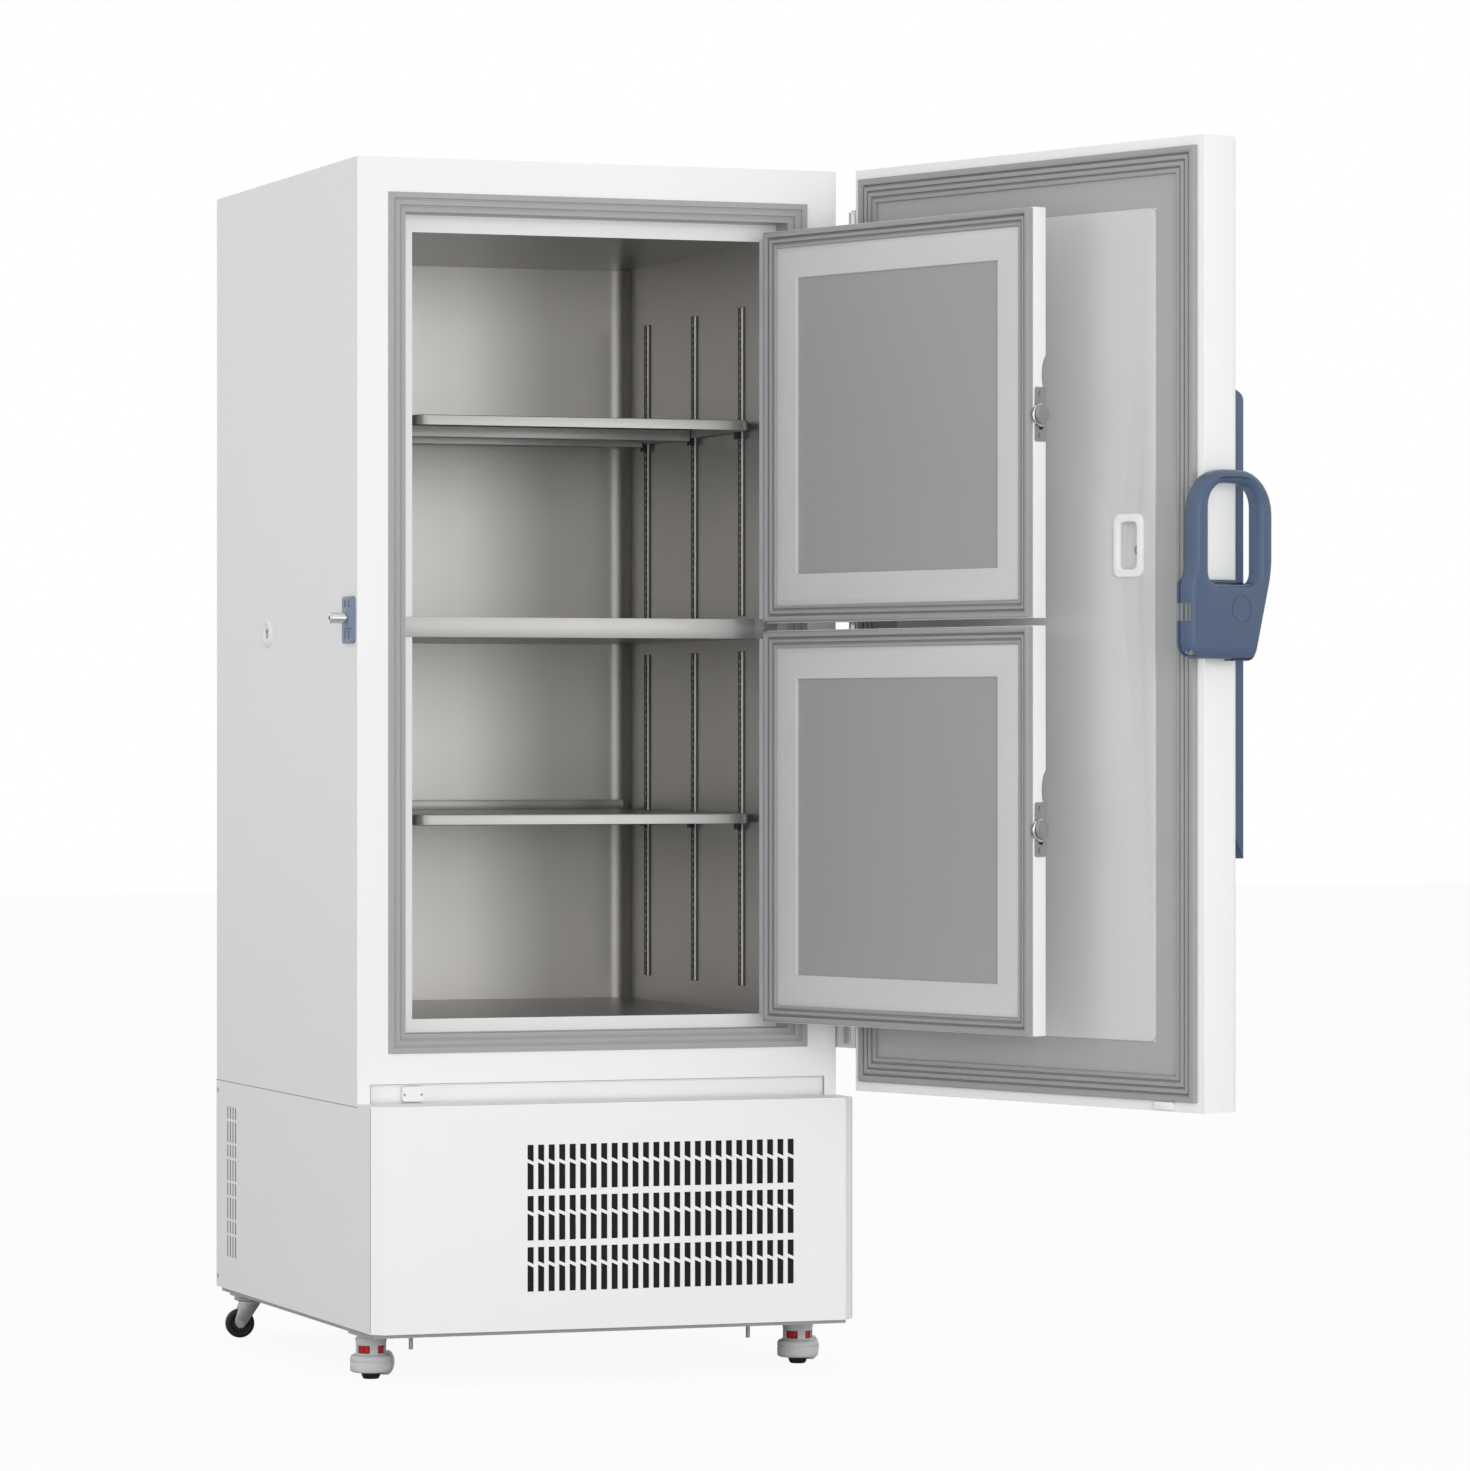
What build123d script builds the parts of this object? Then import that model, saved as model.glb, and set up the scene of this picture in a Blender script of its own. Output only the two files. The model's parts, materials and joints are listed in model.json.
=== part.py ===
from build123d import *
import os

# Upright ultra low temperature freezer: insulated cabinet with an outer door and two inner doors,
# adjustable shelves and a machine compartment on casters, standing with all its doors open.
# Millimetres. X runs right across the front, Y runs back from the cabinet's front face, Z runs up.

# Cold cabinet
WIDTH = 826.0
DEPTH = 872.0
HEIGHT = 1980.0
CASE_BOTTOM = 445.0          # joint between the cold cabinet and the machine compartment
SHEET = 2.0                  # painted steel
CASE_EDGE_R = 3.0
STRIP_HALF_WIDTH = WIDTH / 2 - 22.0    # recessed strip under the front face
STRIP_TOP = CASE_BOTTOM + 36.0
STRIP_SETBACK = 7.0
SWITCH_X = (75.0 - WIDTH / 2, 110.5 - WIDTH / 2)
SWITCH_Z = (CASE_BOTTOM + 8.0, CASE_BOTTOM + 32.0)
SWITCH_FRONT = -4.0

# Ridged frame round the opening, and the recess behind it in which the inner doors close
FRAME_HALF_WIDTH = WIDTH / 2 - 52.0
FRAME_BOTTOM = CASE_BOTTOM + 85.4
FRAME_TOP = HEIGHT - 56.0
RIDGES = ((0.0, 9.0, -3.0), (9.0, 12.0, 3.0), (12.0, 20.0, 1.0), (20.0, 23.0, 8.0), (23.0, 31.0, 6.0))
RIDGE_DEPTH = 9.0
RIDGE_R = 1.4
FRAME_WALL = 3.0
SEAT_Y = 64.0                # face that the inner door gaskets press on

# Cold chamber
CHAMBER_WIDTH = WIDTH - 223.0
CHAMBER_BOTTOM = CASE_BOTTOM + 138.0
CHAMBER_TOP = HEIGHT - 115.0
CHAMBER_BACK = DEPTH - 114.0
LINER_WALL = 1.5
LINER_CORNER_R = 30.0
VACUUM_PANEL = 20.0
VACUUM_MARGIN = 25.0
COIL_TUBE_R = 4.0
COIL_LOOPS = 6
COIL_MARGIN = 130.0
COIL_GAP = 0.3
COIL_CHANNEL = 10.0          # room for the evaporator tube between liner and foam

# Shelves, rails and the fixed partition between the two compartments
DIVIDER_BOTTOM = 1205.6
DIVIDER_TOP = 1238.2
DIVIDER_LIP = 3.0
DIVIDER_SHEET = 1.5
SHELF_TOPS = ((DIVIDER_TOP + CHAMBER_TOP) / 2 + 17.6, (CHAMBER_BOTTOM + DIVIDER_BOTTOM) / 2 + 21.1)
SHELF_LIP = 16.3
SHELF_FRONT = 75.0
SHELF_BACK = CHAMBER_BACK - 20.0
SHELF_CORNER_R = 22.0
SHELF_SHEET = 1.5
SHELF_BAR = (24.0, 22.0)     # width of a cross bar, and how far it reaches below the shelf top
RAIL_YS = (SEAT_Y + 88.0, SEAT_Y + 324.0, CHAMBER_BACK - 123.0)
RAIL_SPANS = ((CHAMBER_BOTTOM + 43.0, DIVIDER_BOTTOM - 19.6), (DIVIDER_TOP + 6.8, CHAMBER_TOP - 103.0))
RAIL_WIDTH = 15.0
RAIL_BRIM = 8.0
RAIL_PROUD = 4.5
RAIL_WALL = 1.2
RAIL_SLOT_PITCH = 12.5
RAIL_SLOT = (7.0, 5.5)
CLIP = (6.0, 22.0, 24.0)

# Outer door, drawn closed
DOOR_X = (4.0 - WIDTH / 2, WIDTH / 2)  # free edge and hinge edge
DOOR_Z = (CASE_BOTTOM + 14.0, HEIGHT - 3.0)
DOOR_INNER_Y = -15.0
DOOR_THICKNESS = 75.0
DOOR_EDGE_R = 14.0
DOOR_SKIN = 2.0
DOOR_LINER = 3.0
DOOR_FINS = ((16.0, 26.0, 11.0), (29.0, 36.0, 9.0), (39.0, 46.0, 9.0), (49.0, 57.0, 8.0))
DOOR_FIN_BASE = 4.0
DOOR_FIN_R = 1.6
DOOR_PANEL_INSET = 107.0
DOOR_PANEL_PROUD = 4.0
DOOR_PANEL_R = 12.0
DOOR_AXIS = (WIDTH / 2 + 20.3, -30.2)
DOOR_OPEN = 110.2            # degrees from closed to where the door stands

# Inner doors, drawn closed
INNER_X = (39.5 - FRAME_HALF_WIDTH, FRAME_HALF_WIDTH - 35.5)
UPPER_Z = (DIVIDER_TOP - 8.2, CHAMBER_TOP + 11.0)
LOWER_Z = (CHAMBER_BOTTOM - 11.0, DIVIDER_BOTTOM + 12.4)
INNER_FRONT_Y = 20.0
INNER_BODY = 28.0
INNER_SKIN = 1.5
INNER_EDGE_R = 3.0
INNER_LINER = 2.0
INNER_FINS = ((2.0, 11.0, 12.0), (14.0, 20.0, 9.0), (23.0, 29.0, 7.0))
INNER_FIN_BASE = 2.0
INNER_BORDER = (38.0, 80.0)  # raised light border round the centre panel
INNER_BORDER_PROUD = 4.0
INNER_AXIS = (FRAME_HALF_WIDTH - 36.0, 10.6)
INNER_OPEN = DOOR_OPEN       # the inner doors swing as far as the outer one

# Hinges
BARREL_R = 9.0
PIN_R = 5.0
PIN_CLEARANCE = 0.06
HINGE_LENGTH = 110.0
HINGE_ZS = (DOOR_Z[0] + 69.0, 1164.0, HEIGHT - 180.0)
KNUCKLE_GAP = 0.6
LEAF = 3.0
LEAF_REACH = 42.0
INNER_BARREL_R = 4.5
INNER_PIN_R = 2.5
INNER_HINGE_LENGTH = 56.0
INNER_HINGE_INSET = 70.0
INNER_LEAF = 1.5

# Lever handle on the free edge of the outer door
HANDLE_NEAR = DOOR_X[0] - 49.0
HANDLE_FAR = DOOR_X[0] - 18.0
HANDLE_WALL = 4.0
HANDLE_Y = (-82.0, 63.0)
HANDLE_Z = (1163.0, 1292.0)
LOOP_Y = (-118.0, 51.0)
LOOP_TOP = 1456.0
LOOP_X = (DOOR_X[0] - 47.0, DOOR_X[0] - 21.0)
LOOP_TUBE = 31.0
LOOP_TOP_TUBE = 21.0
LOOP_SILL = 1278.0
LOOP_R = 68.0
LOOP_EDGE_R = 9.0
PIVOT = (-47.0, 1240.6)      # Y and Z of the lever's pivot
PIVOT_R = 6.0
BOSS_R = 13.0
CAP_R = 20.5
CAP_THICK = 1.6
HANDLE_ROLL = 50.0           # degrees that the lever is pulled forward
HANDLE_BASE_Y = (-80.0, -20.0)
HANDLE_BASE_Z = (1176.0, 1284.0)
TRIM_X = (DOOR_X[0] + 11.0, DOOR_X[0] + 43.0)
TRIM_Z = (853.0, 1586.0)
TRIM_PROUD = 20.0

# Catch on the left side of the cabinet
STRIKER_Y = (10.0, 69.0)
STRIKER_Z = (1194.0, 1270.0)
STRIKER_THICK = 11.0
STRIKER_PIN = (28.4, 1235.0)
STRIKER_PIN_R = 9.0
STRIKER_PIN_TIP = -WIDTH / 2 - 39.0
CATCH_MOUTH = 27.0

# Small fittings
PORT = (534.0, 1218.6)       # Y and Z of the service port on the left side
PORT_CAP_R = 25.4
PORT_CAP_PROUD = 5.0
SLEEVE_R = 14.0
SLEEVE_WALL = 2.5
RELIEF_X = (-277.6, -211.9)
RELIEF_Z = (1293.0, 1393.0)
RELIEF_RIM = 14.0
RELIEF_DEPTH = 12.0
RELIEF_HOLE = (-251.6, 1336.0, 6.0)
RELIEF_KNOB_R = 24.0
MAGNET_X = (SWITCH_X[0] - 5.7, SWITCH_X[1] - 1.0)
MAGNET_Z = (DOOR_Z[0] + 2.0, DOOR_Z[0] + 15.5)
DISPLAY_X = (-105.0, 105.0)
DISPLAY_Z = (HEIGHT - 420.0, HEIGHT - 270.0)
DISPLAY_PROUD = 6.0
LATCH_ZS = {"upper": sum(UPPER_Z) / 2 - 3.0, "lower": sum(LOWER_Z) / 2 + 2.0}
LATCH_PLATE = (24.0, 86.0, 1.2)
LATCH_CAM_R = 14.0
LATCH_CAM_THICK = 4.0

# Machine compartment
BASE_BOTTOM = 85.0
PANEL_FRONT = -91.0
PANEL_CHAMFER = 18.0
PANEL_TOP = CASE_BOTTOM + 5.0
GRILLE_X = -148.8
GRILLE_PITCH = 17.9
GRILLE_COLUMNS = 26
GRILLE_SLOT = 10.6
GRILLE_ROW_BOTTOMS = (147.5, 230.0, 312.5)
GRILLE_ROW_HEIGHT = 72.0
GRILLE_BAR = 5.0             # slanted bar across every slot
GRILLE_BAR_AT = 44.0
GRILLE_SLANT = 24.0
VENT_Y = DEPTH - 126.0
VENT_PITCH = 17.0
VENT_COLUMNS = 4
VENT_SLOT = 6.0
VENT_ROWS = (21.0, 36.0) * 4
VENT_GAP = 4.5
VENT_TOP = CASE_BOTTOM - 43.0
PAN_RIM = 8.0
PAN_BEARER = 45.0            # half width of the flats that take the casters
PAN_PLATE = 4.0
PAN_SETBACK = 8.0
STUDS = ((-323.0, 0.0), (257.0, 0.0))
STUD = (3.5, 25.0)
COMPRESSORS = ((-190.0, DEPTH - 232.0), (150.0, DEPTH - 232.0))
COMPRESSOR_R = 82.0
COMPRESSOR_HEIGHT = 205.0
GROMMET = (9.0, 14.0)
FAN_CENTRE = (80.0, 262.0)
FAN_R = 112.0
FAN_Y = 18.0
FAN_BLADES = 5
CONDENSER_X = (-155.0, 315.0)
CONDENSER_Y = (-62.0, -12.0)
CONDENSER_TOP = CASE_BOTTOM - 45.0
BEND_PITCH = 60.0
BENDS = 4
CONTROL_BOX = ((18.0 - WIDTH / 2, 173.0 - WIDTH / 2), (60.0, 300.0), CASE_BOTTOM - 65.0)
FILTER_Y = (-88.7, -78.7)

# Casters
CASTER_X = WIDTH / 2 - 43.0
FRONT_CASTER_Y = 68.0
REAR_CASTER_Y = DEPTH - 72.0
CASTER_PLATE = (66.0, 4.0)
KINGPIN_R = 6.0
REAR_WHEEL = (25.0, 22.0)    # radius and width
REAR_TRAIL = 20.0
REAR_TURNED = 80.0           # degrees that the fork stands turned from +Y
FRONT_WHEEL = (20.0, 18.0)
FRONT_WHEEL_CLEAR = 3.0      # the levelling foot lifts the wheel this far off the floor
FRONT_TRAIL = 38.0
FRONT_TURNED = -50.0
HOUSING_R = 34.0
HOUSING_Z = (11.0, 40.0)
NECK_R = 25.5
DIAL_R = 21.0
DIAL_Z = (43.0, 54.0)
DIAL_WINDOW = 24.0
FOOT_R = 16.0
FOOT_HEIGHT = 9.0
STEM_R = 6.0
AXLE_R = 4.0
AXLE_CLEARANCE = 0.06

HALF = WIDTH / 2
CHAMBER_HALF = CHAMBER_WIDTH / 2
FRAME_X = (-FRAME_HALF_WIDTH, FRAME_HALF_WIDTH)
FRAME_Z = (FRAME_BOTTOM, FRAME_TOP)
RECESS = RIDGES[-1][1]       # inset of the recess wall from the frame's outline
SEAT_BACK = SEAT_Y + FRAME_WALL
DOOR_OUTER_Y = DOOR_INNER_Y - DOOR_THICKNESS
INNER_BACK_Y = INNER_FRONT_Y + INNER_BODY
PAN_BOTTOM = BASE_BOTTOM - PAN_RIM
PLATE_BOTTOM = PAN_BOTTOM - CASTER_PLATE[1]

pieces = {}                  # node name: its shape, where the object stands


def mid(span):
    return (span[0] + span[1]) / 2


def span_length(span):
    return abs(span[1] - span[0])


def block(x, y, z, mode=Mode.ADD):
    """A box between three pairs of values."""
    with Locations((mid(x), mid(y), mid(z))):
        Box(span_length(x), span_length(y), span_length(z), mode=mode)


def facing(y):
    """Plane across the front at depth y: X to the right, Z up, extrusion comes forward."""
    return Plane(origin=(0, y, 0), x_dir=(1, 0, 0), z_dir=(0, -1, 0))


def sideways(x):
    """Plane along the side at x: Y and Z, extrusion to the right."""
    return Plane(origin=(x, 0, 0), x_dir=(0, 1, 0), z_dir=(1, 0, 0))


def inset(span, amount):
    return (span[0] + amount, span[1] - amount)


def window(x, z, radius=0.0, mode=Mode.ADD):
    """A rectangle between two pairs of values in the current sketch."""
    with Locations((mid(x), mid(z))):
        if radius:
            RectangleRounded(span_length(x), span_length(z), radius, mode=mode)
        else:
            Rectangle(span_length(x), span_length(z), mode=mode)


def border(x, z, outer, inner, y_front, y_back):
    """A rectangular ring between two insets of an outline."""
    with BuildSketch(facing(y_front)) as ring:
        window(inset(x, outer), inset(z, outer))
        window(inset(x, inner), inset(z, inner), mode=Mode.SUBTRACT)
    extrude(ring.sketch, amount=y_front - y_back)


def edges_at(part, y):
    return part.edges().filter_by_position(Axis.Y, y - 0.01, y + 0.01)


def turned(axis, degrees):
    """Rotation about an upright axis through a plan point."""
    return Pos(axis[0], axis[1], 0) * Rot(0, 0, degrees) * Pos(-axis[0], -axis[1], 0)


def keep(name, part, stands=Location()):
    """Store a finished piece under its node name, turned to where it stands."""
    pieces[name] = part.moved(stands)
    pieces[name].label = name


OUTER = turned(DOOR_AXIS, DOOR_OPEN)
INNER = turned(INNER_AXIS, INNER_OPEN)

# Outer case of the cold cabinet, bent and welded sheet
with BuildPart() as outer_case:
    block((-HALF, HALF), (0, DEPTH), (CASE_BOTTOM, HEIGHT))
    fillet(outer_case.edges().filter_by(Axis.Z), CASE_EDGE_R)
    block((SHEET - HALF, HALF - SHEET), (SHEET, DEPTH - SHEET), (CASE_BOTTOM, HEIGHT - SHEET),
          mode=Mode.SUBTRACT)
    block(FRAME_X, (0, SHEET), FRAME_Z, mode=Mode.SUBTRACT)
    block((-STRIP_HALF_WIDTH, STRIP_HALF_WIDTH), (0, SHEET), (CASE_BOTTOM, STRIP_TOP), mode=Mode.SUBTRACT)
    with BuildSketch(sideways(-HALF)):
        with Locations(PORT):
            Circle(SLEEVE_R)
    extrude(amount=SHEET, mode=Mode.SUBTRACT)
keep("outer_case", outer_case.part)

# Recessed strip under the front face, folded back as the cabinet floor, with the door switch on it
with BuildPart() as front_strip:
    block((SHEET - HALF, HALF - SHEET), (STRIP_SETBACK, STRIP_SETBACK + SHEET), (CASE_BOTTOM, STRIP_TOP))
    block((SHEET - HALF, HALF - SHEET), (STRIP_SETBACK, DEPTH - SHEET), (CASE_BOTTOM, CASE_BOTTOM + SHEET))
    block((SHEET - HALF, HALF - SHEET), (SHEET, STRIP_SETBACK), (STRIP_TOP - SHEET, STRIP_TOP))
with BuildPart() as door_switch:
    block(SWITCH_X, (SWITCH_FRONT, STRIP_SETBACK), SWITCH_Z)
    fillet(door_switch.edges().filter_by(Axis.Y), 3)
    with BuildSketch(facing(SWITCH_FRONT)):
        with Locations((mid(SWITCH_X), mid(SWITCH_Z))):
            SlotOverall(span_length(SWITCH_X) / 2, 6)
    extrude(amount=-1.5, mode=Mode.SUBTRACT)
keep("front_strip", Compound([front_strip.part, door_switch.part]))

# Ridged breaker frame, moulded in one piece with the recess wall and the seat
with BuildPart() as breaker_frame:
    for outer, inner, front in RIDGES:
        border(FRAME_X, FRAME_Z, outer, inner, front, front + RIDGE_DEPTH)
    rims = [edge for ridge in RIDGES[::2] for edge in edges_at(breaker_frame, ridge[2])]
    fillet(rims, RIDGE_R)
    border(FRAME_X, FRAME_Z, RECESS - FRAME_WALL, RECESS, RIDGES[-1][2] + 2, SEAT_BACK)
    with BuildSketch(facing(SEAT_Y)):
        window(inset(FRAME_X, RECESS), inset(FRAME_Z, RECESS))
        window((-CHAMBER_HALF, CHAMBER_HALF), (CHAMBER_BOTTOM, CHAMBER_TOP), mode=Mode.SUBTRACT)
    extrude(amount=-FRAME_WALL)
keep("breaker_frame", breaker_frame.part)


def chamber_outline(wall, z):
    """Plan of the chamber with its rounded back corners, grown by a wall."""
    with BuildSketch(Plane.XY.offset(z)) as outline:
        window((-CHAMBER_HALF - wall, CHAMBER_HALF + wall), (SEAT_BACK, CHAMBER_BACK + wall))
        fillet(outline.vertices().group_by(Axis.Y)[-1], LINER_CORNER_R + wall)
    return outline.sketch


# Stainless inner liner, open at the front
with BuildPart() as inner_liner:
    extrude(chamber_outline(LINER_WALL, CHAMBER_BOTTOM - LINER_WALL),
            amount=CHAMBER_TOP - CHAMBER_BOTTOM + 2 * LINER_WALL)
    extrude(chamber_outline(0, CHAMBER_BOTTOM), amount=CHAMBER_TOP - CHAMBER_BOTTOM, mode=Mode.SUBTRACT)
    with BuildSketch(sideways(-CHAMBER_HALF - LINER_WALL)):
        with Locations(PORT):
            Circle(SLEEVE_R - SLEEVE_WALL)
    extrude(amount=LINER_WALL, mode=Mode.SUBTRACT)
keep("inner_liner", inner_liner.part)

# Vacuum insulation panels against the case: left, right and back
VACUUM_Z = inset((CASE_BOTTOM + SHEET, HEIGHT - SHEET), VACUUM_MARGIN)
VACUUM_Y = inset((SEAT_BACK, DEPTH - SHEET - VACUUM_PANEL), VACUUM_MARGIN)
VACUUM_SPANS = [
    ((SHEET - HALF, SHEET - HALF + VACUUM_PANEL), (VACUUM_Y[0], PORT[0] - 2 * PORT_CAP_R), VACUUM_Z),
    ((SHEET - HALF, SHEET - HALF + VACUUM_PANEL), (PORT[0] + 2 * PORT_CAP_R, VACUUM_Y[1]), VACUUM_Z),
    ((HALF - SHEET - VACUUM_PANEL, HALF - SHEET), VACUUM_Y, VACUUM_Z),
    (inset((-HALF, HALF), 2 * VACUUM_MARGIN), (DEPTH - SHEET - VACUUM_PANEL, DEPTH - SHEET), VACUUM_Z),
]
with BuildPart() as vacuum_panels:
    for x, y, z in VACUUM_SPANS:
        block(x, y, z)
keep("vacuum_panels", vacuum_panels.part)

# Foam between case and liner, with the channel for the evaporator tube
CAVITY = CHAMBER_HALF + LINER_WALL + COIL_CHANNEL
with BuildPart() as foam_insulation:
    block((SHEET - HALF, HALF - SHEET), (STRIP_SETBACK + SHEET, DEPTH - SHEET),
          (CASE_BOTTOM + SHEET, HEIGHT - SHEET))
    block(FRAME_X, (0, RIDGES[-2][2] + RIDGE_DEPTH), FRAME_Z, mode=Mode.SUBTRACT)
    block(inset(FRAME_X, RECESS - FRAME_WALL), (0, SEAT_BACK), inset(FRAME_Z, RECESS - FRAME_WALL),
          mode=Mode.SUBTRACT)
    block((-CAVITY, CAVITY), (0, CHAMBER_BACK + LINER_WALL + COIL_CHANNEL),
          (CHAMBER_BOTTOM - LINER_WALL, CHAMBER_TOP + LINER_WALL), mode=Mode.SUBTRACT)
    for x, y, z in VACUUM_SPANS:
        block(x, y, z, mode=Mode.SUBTRACT)
    with BuildSketch(sideways(SHEET - HALF)):
        with Locations(PORT):
            Circle(SLEEVE_R)
    extrude(amount=HALF - CHAMBER_HALF, mode=Mode.SUBTRACT)
keep("foam_insulation", foam_insulation.part)

# Evaporator: one tube wound to and fro round the sides and back of the liner
COIL_X = CHAMBER_HALF + LINER_WALL + COIL_GAP + COIL_TUBE_R
COIL_BACK = CHAMBER_BACK + LINER_WALL + COIL_GAP + COIL_TUBE_R
COIL_FRONT = SEAT_BACK + FRAME_WALL + 4 * COIL_TUBE_R
COIL_R = LINER_CORNER_R + LINER_WALL + COIL_GAP + COIL_TUBE_R
coil_step = (CHAMBER_TOP - CHAMBER_BOTTOM - 2 * COIL_MARGIN) / (COIL_LOOPS - 1)
coil_points = []
for loop in range(COIL_LOOPS):
    side = 1 if loop % 2 else -1
    level = CHAMBER_BOTTOM + COIL_MARGIN + loop * coil_step
    coil_points += [(side * COIL_X, COIL_FRONT, level), (side * COIL_X, COIL_BACK, level),
                    (-side * COIL_X, COIL_BACK, level), (-side * COIL_X, COIL_FRONT, level)]
with BuildPart() as evaporator_coil:
    with BuildLine() as coil_path:
        FilletPolyline(*coil_points, radius=COIL_R)
    with BuildSketch(Plane(origin=coil_path.line @ 0, z_dir=coil_path.line % 0)):
        Circle(COIL_TUBE_R)
    sweep()
keep("evaporator_coil", evaporator_coil.part)

# Fixed partition, with a lip across the recess that both inner doors seal against
with BuildPart() as middle_divider:
    with BuildSketch(Plane.XY.offset(DIVIDER_BOTTOM)) as divider_plan:
        window((-CHAMBER_HALF, CHAMBER_HALF), (SEAT_Y - DIVIDER_LIP, CHAMBER_BACK))
        fillet(divider_plan.vertices().group_by(Axis.Y)[-1], LINER_CORNER_R)
    extrude(amount=DIVIDER_TOP - DIVIDER_BOTTOM)
    block(inset(FRAME_X, RECESS), (SEAT_Y - DIVIDER_LIP, SEAT_Y), (DIVIDER_BOTTOM, DIVIDER_TOP))
    fillet(edges_at(middle_divider, SEAT_Y - DIVIDER_LIP).filter_by(Axis.X), 2)
    extrude(chamber_outline(-DIVIDER_SHEET, DIVIDER_BOTTOM),
            amount=DIVIDER_TOP - DIVIDER_SHEET - DIVIDER_BOTTOM, mode=Mode.SUBTRACT)
with BuildPart() as divider_floor:
    extrude(chamber_outline(-DIVIDER_SHEET, DIVIDER_BOTTOM), amount=DIVIDER_SHEET)
keep("middle_divider", Compound([middle_divider.part, divider_floor.part]))

# Slotted rails on both side walls, above and below the partition
rail_shapes = []
for bottom, top in RAIL_SPANS:
    slots = int((top - bottom - RAIL_SLOT_PITCH) / RAIL_SLOT_PITCH)
    with BuildPart() as rail:
        with BuildSketch(Plane.XY.offset(bottom)):
            Rectangle(RAIL_PROUD, RAIL_WIDTH, align=(Align.MIN, Align.CENTER))
            Rectangle(RAIL_WALL, RAIL_WIDTH + 2 * RAIL_BRIM, align=(Align.MIN, Align.CENTER))
            Rectangle(RAIL_PROUD - RAIL_WALL, RAIL_WIDTH - 2 * RAIL_WALL,
                      align=(Align.MIN, Align.CENTER), mode=Mode.SUBTRACT)
        extrude(amount=top - bottom)
        with BuildSketch(sideways(RAIL_PROUD)):
            with Locations((0, mid((bottom, top)))):
                with GridLocations(RAIL_SLOT_PITCH, RAIL_SLOT_PITCH, 1, slots):
                    Rectangle(*RAIL_SLOT)
        extrude(amount=-RAIL_WALL, mode=Mode.SUBTRACT)
    for y in RAIL_YS:
        rail_shapes.append(rail.part.moved(Pos(-CHAMBER_HALF, y, 0)))
        rail_shapes.append(rail.part.moved(Pos(CHAMBER_HALF, y, 0) * Rot(0, 0, 180)))
keep("shelf_rails", Compound(rail_shapes))

# Two sheet shelves with folded lips, ends that clear the rails and two cross bars
SHELF_HALF = CHAMBER_HALF - RAIL_PROUD - CLIP[0]


def shelf_outline(wall, z):
    """Plan of a shelf with rounded front corners, shrunk by a sheet at its front and sides."""
    with BuildSketch(Plane.XY.offset(z)) as outline:
        window(inset((-SHELF_HALF, SHELF_HALF), wall), (SHELF_FRONT + wall, SHELF_BACK))
        fillet(outline.vertices().group_by(Axis.Y)[0], SHELF_CORNER_R - wall)
    return outline.sketch


shelf_shapes = []
clip_shapes = []
for top in SHELF_TOPS:
    with BuildPart() as shelf:
        extrude(shelf_outline(0, top - SHELF_LIP), amount=SHELF_LIP)
        extrude(shelf_outline(SHELF_SHEET, top - SHELF_LIP), amount=SHELF_LIP - SHELF_SHEET, mode=Mode.SUBTRACT)
        block((-SHELF_HALF, SHELF_HALF), (SHELF_BACK - SHELF_SHEET, SHELF_BACK), (top, top + SHELF_LIP))
        for y in RAIL_YS[1:]:
            bar_y = (y - SHELF_BAR[0] / 2, y + SHELF_BAR[0] / 2)
            block((-SHELF_HALF, SHELF_HALF), bar_y, (top - SHELF_BAR[1], top))
            block((-SHELF_HALF, SHELF_HALF), inset(bar_y, SHELF_SHEET),
                  (top - SHELF_BAR[1] + SHELF_SHEET, top - SHELF_SHEET), mode=Mode.SUBTRACT)
    shelf_shapes.append(shelf.part)
    for y in RAIL_YS:
        for side in (-1, 1):
            with BuildPart() as clip:
                with BuildSketch(facing(y + CLIP[1] / 2)):
                    with BuildLine():
                        inner_x = side * SHELF_HALF
                        outer_x = side * (SHELF_HALF + CLIP[0])
                        Polyline((inner_x, top - CLIP[2] - 4), (outer_x, top - CLIP[2] - 4),
                                 (outer_x, top), (inner_x, top - 2), close=True)
                    make_face()
                extrude(amount=CLIP[1])
            clip_shapes.append(clip.part)
keep("shelves", Compound(shelf_shapes))

# Service port through the left wall: a sleeve with a screwed cap
with BuildPart() as access_port:
    with BuildSketch(sideways(-HALF - PORT_CAP_PROUD)):
        with Locations(PORT):
            Circle(PORT_CAP_R)
    extrude(amount=PORT_CAP_PROUD)
    fillet(access_port.edges().filter_by(GeomType.CIRCLE).group_by(Axis.X)[0], 2)
    with BuildSketch(sideways(-HALF - PORT_CAP_PROUD)):
        with Locations(PORT):
            SlotOverall(PORT_CAP_R, 4, rotation=90)
    extrude(amount=1.5, mode=Mode.SUBTRACT)
    with BuildSketch(sideways(-HALF)):
        with Locations(PORT):
            Circle(SLEEVE_R)
            Circle(SLEEVE_R - SLEEVE_WALL, mode=Mode.SUBTRACT)
    extrude(amount=HALF - CHAMBER_HALF - LINER_WALL)
keep("access_port", access_port.part)

# Catch for the outer door: a block with four screw slots and a steel pin
with BuildPart() as striker_bracket:
    block((-HALF - STRIKER_THICK, -HALF), STRIKER_Y, STRIKER_Z)
    fillet(striker_bracket.edges().filter_by(Axis.X), 6)
    with BuildSketch(sideways(-HALF - STRIKER_THICK)):
        with Locations((mid(STRIKER_Y), mid(STRIKER_Z))):
            with GridLocations(22, 50, 2, 2):
                SlotOverall(14, 6, rotation=90)
    extrude(amount=3, mode=Mode.SUBTRACT)
    with BuildSketch(sideways(-HALF - STRIKER_THICK)):
        with Locations(STRIKER_PIN):
            Circle(STRIKER_PIN_R * 0.6)
    extrude(amount=STRIKER_THICK, mode=Mode.SUBTRACT)
keep("striker_bracket", striker_bracket.part)

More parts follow.
